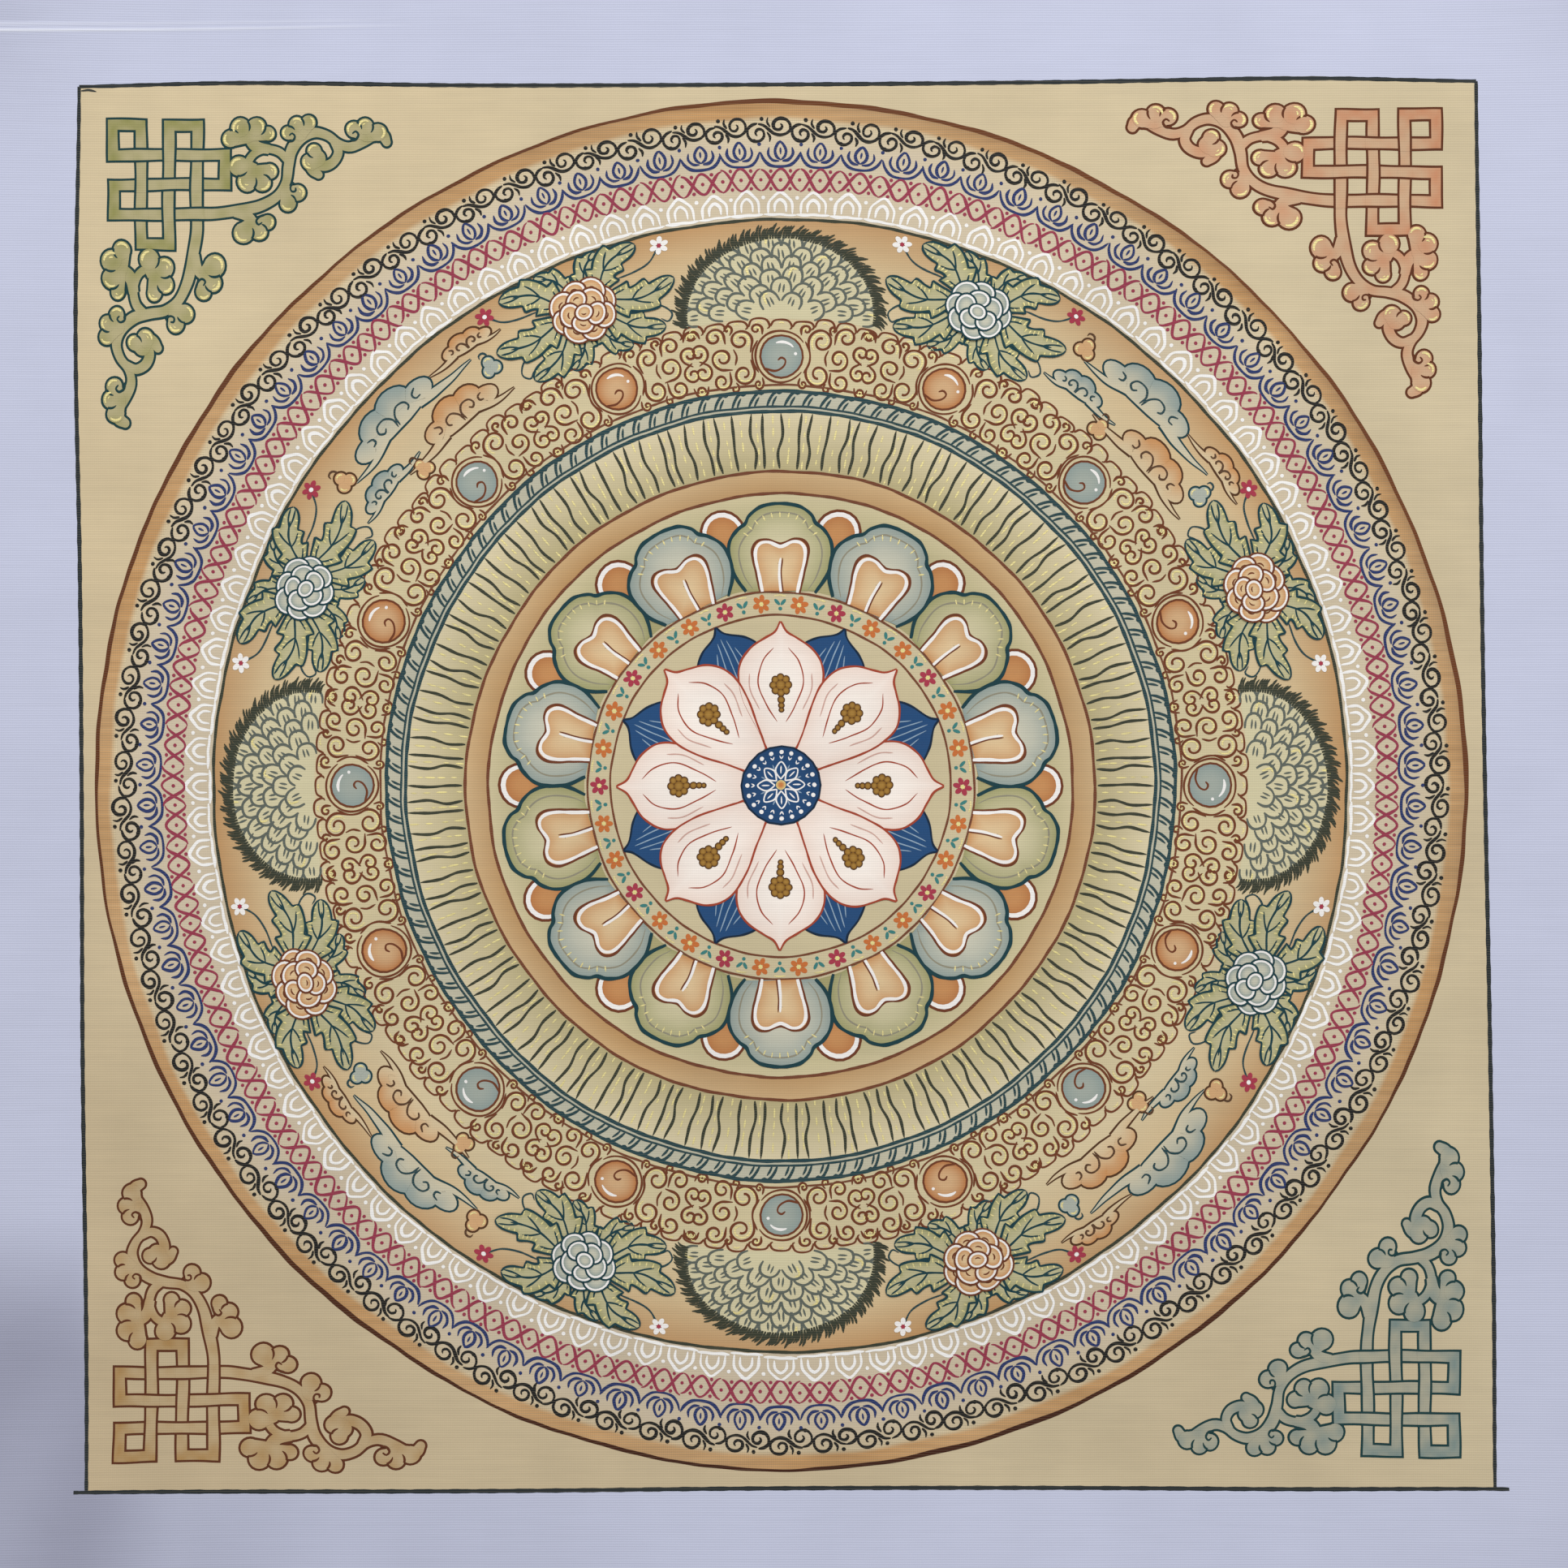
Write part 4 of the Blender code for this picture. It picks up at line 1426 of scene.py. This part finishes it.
def flower_spray(art, settings, is_ochre):
    """A full blossom on toothed leaves, with small flowers and tendrils beside it."""
    for number, (base, tip, bend, breadth) in enumerate(SPRAY_LEAVES):
        leaf(art, base, tip, bend, breadth, settings, LEAF_LIFT + LEAF_STEP * number)
    fine, _, _ = line_widths(settings)
    for hand in (-1.0, 1.0):
        for tendril in SPRAY_TENDRILS:
            path = np.asarray(tendril) * (hand, 1.0)
            art.ink.line(path, fine * 1.2, settings.teal_line, TENDRIL_LIFT)
        body, heart = settings.white, settings.crimson
        if (hand < 0.0) == is_ochre:
            body, heart = heart, body
        x, y = SPRAY_FLOWER
        star_flower(art, hand * x, y, SMALL_FLOWER, body, heart, FLOWER_LIFT)
    if is_ochre:
        colours = (settings.pale_ochre, settings.ochre)
        blossom(art, OCHRE_BLOSSOM, colours, settings.brown_line, settings, True)
    else:
        colours = (settings.pale_slate, settings.slate)
        blossom(art, SLATE_BLOSSOM, colours, settings.teal_line, settings, False)


CLOUD_LOBES = (  # x, y, half width, half height
    (-12.0, 0.9, 3.8, 2.3), (-7.6, 3.1, 4.2, 3.2), (-1.6, 3.8, 4.6, 3.3), (4.2, 1.9, 4.0, 2.5),
    (-4.0, 0.4, 9.8, 1.9),
)
CLOUD_TAILS = (  # path, width at its root
    (((3.0, 0.0), (8.0, -0.9), (13.0, -1.0), (18.4, -0.2)), 2.6),
    (((-8.0, -0.4), (-12.0, -1.7), (-16.0, -2.0), (-20.0, -1.6)), 2.0),
)
CLOUD_CURLS = (
    ((-4.2, -0.9), (-4.0, 1.2), (-5.4, 2.9), (-7.6, 2.8), (-8.4, 1.3), (-7.4, 0.4), (-6.5, 1.1)),
    ((-3.6, -0.9), (-3.2, 1.3), (-1.6, 2.9), (0.4, 2.6), (0.9, 1.2), (0.0, 0.5)),
    ((-11.6, 2.2), (-10.3, 1.7), (-10.2, 0.6), (-11.3, 0.3)),
    ((4.4, 3.2), (3.0, 2.3), (3.3, 1.1), (4.6, 1.1)),
)
# x, y, size, hand, whether it is slate, for each cloud of a group
CLOUD_GROUP = (
    (0.4, 3.0, 0.92, 1.0, True),
    (5.4, -6.0, 0.82, -1.0, False),
    (-13.8, -4.6, 0.52, 1.0, True),
    (16.6, 5.4, 0.46, -1.0, False),
)
# x, y and whether it is slate, for each bud between the clouds
CLOUD_BUDS = ((-19.2, 3.6, False), (20.0, -1.0, True), (-6.6, -7.8, False))
BUD_STALK = ((0.2, 1.6), (0.5, 2.7), (0.0, 3.5), (-1.0, 3.4), (-1.2, 2.6))
BUD_LOBE, BUD_RIM, BUD_TOUCH = 1.22, 1.65, 0.8  # radius of a lobe, of its edge and of its gold touch
BUD_REACH = 1.05  # from a bud's middle to its lobes'
CLOUD_EDGE_LIFT, CLOUD_LIFT, CURL_LIFT = 0.11, 0.136, 0.16
BUD_EDGE_LIFT, STALK_LIFT, BUD_LIFT, BUD_GOLD_LIFT = 0.13, 0.14, 0.15, 0.17


def cloud(art, pale, deep, line, width):
    """A cloud: ovals with one edge round them all, tails drawn out to a point, and curls inside."""

    def shade(places):
        high = (places[:, 1] + 2.0) / 7.5 + 0.12 * np.sin(0.9 * places[:, 0])
        return blend(covering(pale, 0.35), deep, high)

    for x, y, wide, tall in CLOUD_LOBES:
        art.colour.dab((x, y), wide + width, line, CLOUD_EDGE_LIFT, across=tall + width)
    for path, root in CLOUD_TAILS:
        path = smooth_path(path, 0.6)
        taper = np.linspace(1.0, 0.02, len(path)) ** 0.8 * root / 2.0
        edge = taper + width * np.linspace(1.0, 0.5, len(path))
        art.colour.band(path, edge, CLOUD_EDGE_LIFT, line)
        art.colour.band(path, np.maximum(taper - 0.05, 0.03), CLOUD_LIFT, shade)
    for x, y, wide, tall in CLOUD_LOBES:
        art.colour.dab((x, y), wide, shade, CLOUD_LIFT, across=tall)
    for curl in CLOUD_CURLS:
        art.ink.line(curl, width, line, CURL_LIFT, (0.5, 0.6), step=0.4)


def cloud_bud(art, body, line, settings):
    """A bud of three lobes on a hooked stalk."""
    fine, usual, _ = line_widths(settings)
    art.ink.line(BUD_STALK, usual, line, STALK_LIFT, step=0.4)
    for degrees in (90.0, 210.0, 330.0):
        centre = on_circle(BUD_REACH, degrees)
        art.colour.dab(centre, BUD_RIM, line, BUD_EDGE_LIFT)
        art.colour.dab(centre, BUD_LOBE, body, BUD_LIFT)
        touch = arc(centre, BUD_TOUCH, degrees - 70.0, degrees + 50.0)
        art.gold.line(touch, fine, settings.gold, BUD_GOLD_LIFT, step=0.3)


def cloud_group(art, settings):
    """Drifting clouds, slate and ochre, with small buds between them."""
    _, usual, _ = line_widths(settings)
    slate = (settings.pale_slate, settings.slate, settings.teal_line)
    ochre = (settings.pale_ochre, settings.ochre, settings.umber)
    for x, y, scale, hand, is_slate in CLOUD_GROUP:
        cloud(art.at(shifted(x, y, scale, 0.0, hand)), *(slate if is_slate else ochre), usual / scale)
    for x, y, is_slate in CLOUD_BUDS:
        pale, deep, line = slate if is_slate else ochre
        cloud_bud(art.at(shifted(x, y)), blend(pale, deep, 0.6), line, settings)


def make_frieze(settings):
    """The broad outer ring: feather mounds, clouds and flower sprays in turn."""
    mounds, sprays, clouds = Painting(), Painting(), Painting()
    for _, place in around(mounds, 4, on_ring, MOUND_RADIUS):
        feather_mound(place, settings)
    for turn, place in around(sprays, 8, on_ring, SPRAY_RADIUS, 22.5):
        flower_spray(place, settings, turn % 2 == 0)
    for _, place in around(clouds, 4, on_ring, CLOUD_RADIUS, 45.0):
        cloud_group(place, settings)
    mounds.make("feather_mounds")
    sprays.make("flower_sprays")
    clouds.make("clouds")


# ---------------------------------------------------------------- disc: rosette

# Each outline is the right half of a petal, from its foot to its tip
BROAD_PETAL = (
    (7.4, 0.0), (9.8, 3.2), (11.1, 7.2), (10.9, 10.6), (9.2, 13.4), (7.4, 14.8), (6.6, 16.4), (4.4, 18.2),
    (1.8, 18.8), (0.05, 18.9),
)
TONGUE = (
    (4.2, 0.0), (5.0, 3.6), (6.0, 7.2), (6.0, 9.6), (4.8, 11.1), (2.9, 11.3), (1.2, 10.6), (0.05, 10.2),
)
TONGUE_VEIN = ((0.2, 0.2), (-0.1, 4.0), (0.1, 7.4))
CREAM_PETAL = (
    (3.1, 0.0), (5.5, 5.0), (8.1, 10.4), (9.2, 14.9), (8.8, 18.7), (6.7, 21.8), (3.6, 23.8), (1.3, 25.2),
    (0.05, 27.4),
)
CREAM_FOLDS = (  # path, share of the red in its line
    (((0.9, 6.0), (3.2, 10.0), (4.9, 14.6), (4.0, 19.0), (1.6, 21.8)), 1.0),
    (((4.6, 8.6), (6.6, 13.0), (6.8, 16.4)), 0.5),
)
BACK_PETAL = ((5.0, 12.0), (7.2, 16.6), (7.0, 20.2), (4.8, 22.8), (2.2, 24.4), (0.9, 25.4), (0.05, 26.9))
BROAD_PETALS = 14
BROAD_FOOT = 41.2  # radius at which the broad petals start
BEHIND_RADIUS = 55.4  # middle of the small round petals
BEHIND_PETAL = (  # place outwards, radius, colour, colour of its rim if it has one, lift
    (0.0, 5.0, "brown_line", None, 0.10),
    (0.0, 4.4, "white", None, 0.115),
    (-0.2, 3.6, "ochre", "clay", 0.13),
)
BROAD_LIFTS = (0.16, 0.19)  # of the sage petals and of the slate ones
TOUCHES = ((9.1, 7.9), 0.97, 8.3)  # reach of the two ends of each, flattening, height of their middle
CREAM_PETALS = 8
CREAM_FOOT, BACK_FOOT = 7.7, 9.6  # radius at which the cream petals and the blue ones start


def broad_petal(art, pale, deep, lift, settings):
    """A broad petal with an inner line, touches of gold and an orange tongue."""
    fine, _, bold = line_widths(settings)
    petal_form(art, BROAD_PETAL, (0.0, 9.0), (pale, deep), settings.teal_line, bold * 1.3, lift)
    contour = both_sides(BROAD_PETAL) * (0.80, 0.87) + (0.0, 0.6)
    faint = covering(settings.teal_line, 0.55)
    art.colour.line(contour, fine, faint, lift + OVER, (0.3, 0.3), smooth=False)
    reaches, flat, up = TOUCHES
    for degrees in range(30, 151, 12):
        touch = [on_circle(reach, degrees, flat) + (0.0, up) for reach in reaches]
        art.gold.line(touch, fine, settings.gold, lift + 0.02, smooth=False)
    edge = both_sides(TONGUE)
    inner = edge * (0.89, 0.95)
    shadow = np.asarray(TONGUE_VEIN) + (0.45, 0.0)
    brown, white = settings.brown_line, settings.white
    art.colour.fan(edge, (0.0, 5.0), lift + 0.03, settings.pale_ochre, settings.ochre)
    art.colour.line(edge, bold, brown, lift + 0.04, (0.9, 0.9), smooth=False)
    art.colour.line(inner, bold * 1.15, white, lift + 0.05, (0.9, 0.9), smooth=False)
    art.colour.line(TONGUE_VEIN, bold, white, lift + 0.05, (0.9, 0.4))
    art.colour.line(shadow, fine, brown, lift + 0.05, (0.9, 0.4))


def make_broad_petals(settings):
    """Broad petals, slate and sage in turn, with a small round one behind each gap."""
    art = Painting()
    sage, slate = (settings.pale_sage, settings.sage), (settings.pale_slate, settings.slate)
    for _, place in around(art, BROAD_PETALS, on_spoke, BEHIND_RADIUS, 90.0 + 180.0 / BROAD_PETALS):
        for out, radius, tint, rim, lift in BEHIND_PETAL:
            rim = rim and getattr(settings, rim)
            place.colour.dab((0.0, out), radius, getattr(settings, tint), lift, rim=rim)
    for turn, place in around(art, BROAD_PETALS, on_spoke, BROAD_FOOT, 90.0):
        broad_petal(place, *(slate if turn % 2 else sage), BROAD_LIFTS[turn % 2], settings)
    art.make("broad_petals")


BROCADE_EDGES = ((36.4, 0.12), (41.3, 0.20))  # radius, lift
FLORETS = 30
FLORET_RADIUS = 38.8  # from the disc's middle
FLORET_SIZE = 1.95  # radius of a floret
SPRIG_LEAF = (0.62, 0.35, 0.82, 0.36, 52.0)  # x of the right one, y, half length, half width, degrees
SPRIG_BUD = ((0.0, -1.1), 0.42)  # place and radius
FLORET_LIFT, SPRIG_GOLD_LIFT = 0.11, 0.12


def make_brocade(settings):
    """A narrow ring of small florets, with a sprig of leaves between each two."""
    art = Painting()
    fine, usual, _ = line_widths(settings)
    for radius, lift in BROCADE_EDGES:
        art.ink.circle_line(radius, usual, settings.brown_line, lift)
    half = math.pi * FLORET_RADIUS / FLORETS
    for turn, place in around(art, FLORETS, on_ring, FLORET_RADIUS):
        body = settings.orange if turn % 3 else settings.crimson
        star_flower(place, 0.0, 0.0, FLORET_SIZE, body, settings.gold, FLORET_LIFT)
        sprig = place.at(shifted(half, 0.0))
        x, y, long, wide, degrees = SPRIG_LEAF
        for hand in (-1.0, 1.0):
            tilt = degrees * hand
            sprig.colour.dab((x * hand, y), long, settings.verdigris, FLORET_LIFT, None, wide, tilt)
        sprig.colour.dab(*SPRIG_BUD, settings.verdigris, FLORET_LIFT)
        stroke = [(-1.2, 1.7), (0.0, 1.9), (1.2, 1.7)]
        sprig.gold.line(stroke, fine, settings.gold, SPRIG_GOLD_LIFT, step=0.4)
    art.make("brocade_ring")


BEAD_DROP = ((0.0, -3.1, 0.62), (0.0, -4.3, 0.5), (0.0, -5.3, 0.4))  # x, y, radius, below the rosette
BEAD_MIDDLE = (0.0, 0.0, 1.0)
BEAD_RING, BEAD_RADIUS = 1.65, 0.66  # radius of the ring of beads, and of each bead
BEAD_RIM = 0.22  # width of the dark line round a bead


def bead_drop(art, lift, settings):
    """A rosette of gold-brown beads with a short drop of smaller ones."""
    ring = [(*on_circle(BEAD_RING, degrees), BEAD_RADIUS) for degrees in range(0, 360, 45)]
    for x, y, radius in [*ring, *BEAD_DROP, BEAD_MIDDLE]:
        art.colour.dab((x, y), radius + BEAD_RIM, settings.umber, lift)
        art.colour.dab((x, y), radius, settings.bronze, lift + OVER, rim=settings.deep_bronze)


BEADS_OUT = 14.0  # from a cream petal's foot to its rosette of beads
HATCH_STEP = 1.45  # from one fine stroke on the blue petals to the next
BACK_LIFT, HATCH_LIFT = 0.13, 0.165
CREAM_LIFTS = (0.20, 0.22)  # of every other cream petal, and of those between


def make_cream_petals(settings):
    """Cream petals with fine red-brown lines, over blue ones with fine hatching."""
    art = Painting()
    fine, usual, _ = line_widths(settings)
    blues, creams = (settings.blue, settings.blue), (settings.cream, settings.blush)
    for _, place in around(art, CREAM_PETALS, on_spoke, BACK_FOOT, 90.0 + 180.0 / CREAM_PETALS):
        petal_form(place, BACK_PETAL, (0.0, 18.0), blues, settings.night, usual, BACK_LIFT)
        for number in range(-4, 5):
            x = HATCH_STEP * number
            top = max(24.2 - 0.32 * x * x, 18.5)
            strand = [(x * 0.8, 13.0), (x * 1.05, 17.5), (x * 0.72, top)]
            place.colour.line(strand, fine * 0.75, settings.pale_blue, HATCH_LIFT, step=0.7)
    for turn, place in around(art, CREAM_PETALS, on_spoke, CREAM_FOOT, 90.0):
        lift = CREAM_LIFTS[turn % 2]
        petal_form(place, CREAM_PETAL, (0.0, 14.0), creams, settings.red_line, usual, lift)
        for hand in (-1.0, 1.0):
            for fold, share in CREAM_FOLDS:
                tint = blend(settings.blush, settings.red_line, share)
                fold = np.asarray(fold) * (hand, 1.0)
                place.colour.line(fold, fine * 0.85, tint, lift + 0.03, (0.2, 0.2))
        bead_drop(place.at(shifted(0.0, BEADS_OUT)), lift + 0.04, settings)
    art.make("cream_petals")


ROUNDEL_SCALE = 0.85  # of the size that it is drawn at
ROUNDEL_BUD = ((0.0, 1.5), (1.25, 3.2), (1.1, 4.5), (0.0, 5.8), (-1.1, 4.5), (-1.25, 3.2), (0.0, 1.5))
ROUNDEL_VEIN = ((0.0, 2.9), (0.0, 4.8))
ROUNDEL_STROKE = ((0.0, 4.3), (0.0, 5.4))  # between two buds
ROUNDEL_BUDS = 8
ROUNDEL_PEARL = ((0.0, 8.3), 0.56)  # place and radius
ROUNDEL_SWAG = ((-0.45, 7.3), (0.0, 6.6), (0.45, 7.3))  # under each pearl
ROUNDEL_PEARLS = 20
ROUNDEL_RIM, ROUNDEL_BODY, ROUNDEL_HEART = 10.1, 9.6, 1.25  # radius
ROUNDEL_LIFTS = (0.26, 0.28, 0.30)  # of its dark rim, its blue and the drawing on it


def make_roundel(settings):
    """The blue roundel in the middle: a white line flower, pearls and fine strokes."""
    art = Painting()
    fine, usual, _ = line_widths(settings)
    white = settings.white
    rim_lift, blue_lift, lift = ROUNDEL_LIFTS
    darker = blend(settings.blue, settings.night, 0.3)
    middle = art.at(shifted(*ROUND_MIDDLE, ROUNDEL_SCALE))
    middle.colour.dab((0.0, 0.0), ROUNDEL_RIM, settings.night, rim_lift)
    middle.colour.dab((0.0, 0.0), ROUNDEL_BODY, settings.blue, blue_lift, rim=darker)
    for turn in range(ROUNDEL_PEARLS):
        place = middle.at(shifted(0.0, 0.0, 1.0, 360.0 * turn / ROUNDEL_PEARLS))
        place.colour.dab(*ROUNDEL_PEARL, white, lift)
        place.colour.line(ROUNDEL_SWAG, fine, white, lift, step=0.3)
    for turn in range(ROUNDEL_BUDS):
        place = middle.at(shifted(0.0, 0.0, 1.0, 360.0 * turn / ROUNDEL_BUDS))
        place.colour.line(ROUNDEL_BUD, usual * 0.85, white, lift, (0.8, 0.8), step=0.35)
        place.colour.line(ROUNDEL_VEIN, fine, white, lift, smooth=False)
        place = middle.at(shifted(0.0, 0.0, 1.0, 360.0 * (turn + 0.5) / ROUNDEL_BUDS))
        place.colour.line(ROUNDEL_STROKE, fine, settings.pale_blue, lift, smooth=False)
    middle.colour.dab((0.0, 0.0), ROUNDEL_HEART, settings.orange, lift, rim=settings.gold)
    art.make("roundel")


# ---------------------------------------------------------------- stage

# metres
FLOOR_REACH = 3.0  # from the middle to each side of the floor
KEY_PLACE = (0.10, 0.80, 1.20)
KEY_WIDTH = 1.1
ROOM_LIGHT = 0.36  # strength of the white light from all around
SENSOR = 36.0  # width of the camera's sensor in millimetres


def make_stage(settings):
    """A plain pale floor, soft light from above and the camera straight over the sheet."""
    scene = bpy.context.scene
    floor_mesh = bpy.data.meshes.new("floor")
    signs = ((-1, -1), (1, -1), (1, 1), (-1, 1))
    floor_mesh.from_pydata([(x * FLOOR_REACH, y * FLOOR_REACH, 0.0) for x, y in signs], [], [range(4)])
    floor = bpy.data.objects.new("floor", floor_mesh)
    paper = Finish("pale_floor", 0.9)
    place = paper.node("ShaderNodeTexCoord").outputs["Object"]
    shade = paper.mix(paper.noise(place, 3.0), tuple(settings.floor), linear("d9d7d2"))
    paper.lead("Base Color", shade)
    floor_mesh.materials.append(paper.material)
    scene.collection.objects.link(floor)

    light = bpy.data.lights.new("soft_key", "AREA")
    light.shape, light.size, light.energy = "DISK", KEY_WIDTH, settings.key
    lamp = bpy.data.objects.new("soft_key", light)
    lamp.location = KEY_PLACE
    lamp.rotation_mode = "QUATERNION"
    lamp.rotation_quaternion = lamp.location.to_track_quat("Z", "Y")
    scene.collection.objects.link(lamp)

    world = bpy.data.worlds.new("room")
    world.use_nodes = True
    background = world.node_tree.nodes["Background"]
    background.inputs["Color"].default_value = (1.0, 1.0, 1.0, 1.0)
    background.inputs["Strength"].default_value = ROOM_LIGHT
    scene.world = world
    scene.view_settings.view_transform = "Standard"

    lens = bpy.data.cameras.new("camera")
    lens.sensor_width = SENSOR
    lens.lens = SENSOR * settings.camera_height / settings.seen
    camera = bpy.data.objects.new("camera", lens)
    camera.location = (0.0, 0.0, settings.camera_height)
    scene.collection.objects.link(camera)
    scene.camera = camera


# ---------------------------------------------------------------- operators and panel


class CutCanvas(bpy.types.Operator):
    """Cut and prime the cotton sheet"""

    bl_idname = "scroll_painting.cut_canvas"
    bl_label = "Cut Canvas"

    def execute(self, context):
        make_canvas(context.scene.painting_canvas)
        return {"FINISHED"}


class PaintField(bpy.types.Operator):
    """Lay the tan field and draw its edge line and circle"""

    bl_idname = "scroll_painting.paint_field"
    bl_label = "Paint Field"

    def execute(self, context):
        make_field()
        make_edge_line(context.scene.painting_field)
        make_circle(context.scene.painting_field)
        return {"FINISHED"}


class PaintCorners(bpy.types.Operator):
    """Paint the four corner knots"""

    bl_idname = "scroll_painting.paint_corners"
    bl_label = "Paint Corner Knots"

    def execute(self, context):
        make_corners(context.scene.painting_corners)
        return {"FINISHED"}


class PaintRows(bpy.types.Operator):
    """Paint the four rings of small ornament"""

    bl_idname = "scroll_painting.paint_rows"
    bl_label = "Paint Rows"

    def execute(self, context):
        make_rows(context.scene.painting_rows)
        return {"FINISHED"}


class PaintDiscGround(bpy.types.Operator):
    """Lay the disc's ground colours, its rings, rays and rope band"""

    bl_idname = "scroll_painting.paint_disc_ground"
    bl_label = "Paint Disc Ground"

    def execute(self, context):
        make_disc_ground(context.scene.painting_disc)
        make_rays(context.scene.painting_disc)
        return {"FINISHED"}


class PaintFrieze(bpy.types.Operator):
    """Paint the disc's scroll band and its outer frieze"""

    bl_idname = "scroll_painting.paint_frieze"
    bl_label = "Paint Frieze"

    def execute(self, context):
        make_scroll_band(context.scene.painting_disc)
        make_frieze(context.scene.painting_disc)
        return {"FINISHED"}


class PaintRosette(bpy.types.Operator):
    """Paint the petals and the roundel in the middle of the disc"""

    bl_idname = "scroll_painting.paint_rosette"
    bl_label = "Paint Rosette"

    def execute(self, context):
        make_broad_petals(context.scene.painting_disc)
        make_brocade(context.scene.painting_disc)
        make_cream_petals(context.scene.painting_disc)
        make_roundel(context.scene.painting_disc)
        return {"FINISHED"}


class SetStage(bpy.types.Operator):
    """Set the floor, the light and the camera"""

    bl_idname = "scroll_painting.set_stage"
    bl_label = "Set Stage"

    def execute(self, context):
        make_stage(context.scene.painting_stage)
        return {"FINISHED"}


OPERATORS = (
    CutCanvas,
    PaintField,
    PaintCorners,
    PaintRows,
    PaintDiscGround,
    PaintFrieze,
    PaintRosette,
    SetStage,
)


class PaintingPanel(bpy.types.Panel):
    """Lists the settings and the steps of the painting"""

    bl_idname = "VIEW3D_PT_scroll_painting"
    bl_label = "Scroll Painting"
    bl_space_type = "VIEW_3D"
    bl_region_type = "UI"
    bl_category = "Scroll Painting"

    def draw(self, context):
        for name, group in SETTINGS.items():
            box = self.layout.box()
            for key in group.__annotations__:
                box.prop(getattr(context.scene, name), key)
        for step in OPERATORS:
            self.layout.operator(step.bl_idname)


CLASSES = tuple(SETTINGS.values()) + OPERATORS + (PaintingPanel,)


def register():
    for kind in CLASSES:
        bpy.utils.register_class(kind)
    for name, group in SETTINGS.items():
        setattr(bpy.types.Scene, name, bpy.props.PointerProperty(type=group))


def unregister():
    for name in SETTINGS:
        delattr(bpy.types.Scene, name)
    for kind in reversed(CLASSES):
        bpy.utils.unregister_class(kind)


def main():
    register()
    for step in OPERATORS:
        module, name = step.bl_idname.split(".")
        getattr(getattr(bpy.ops, module), name)()
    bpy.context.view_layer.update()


if __name__ == "__main__":
    main()
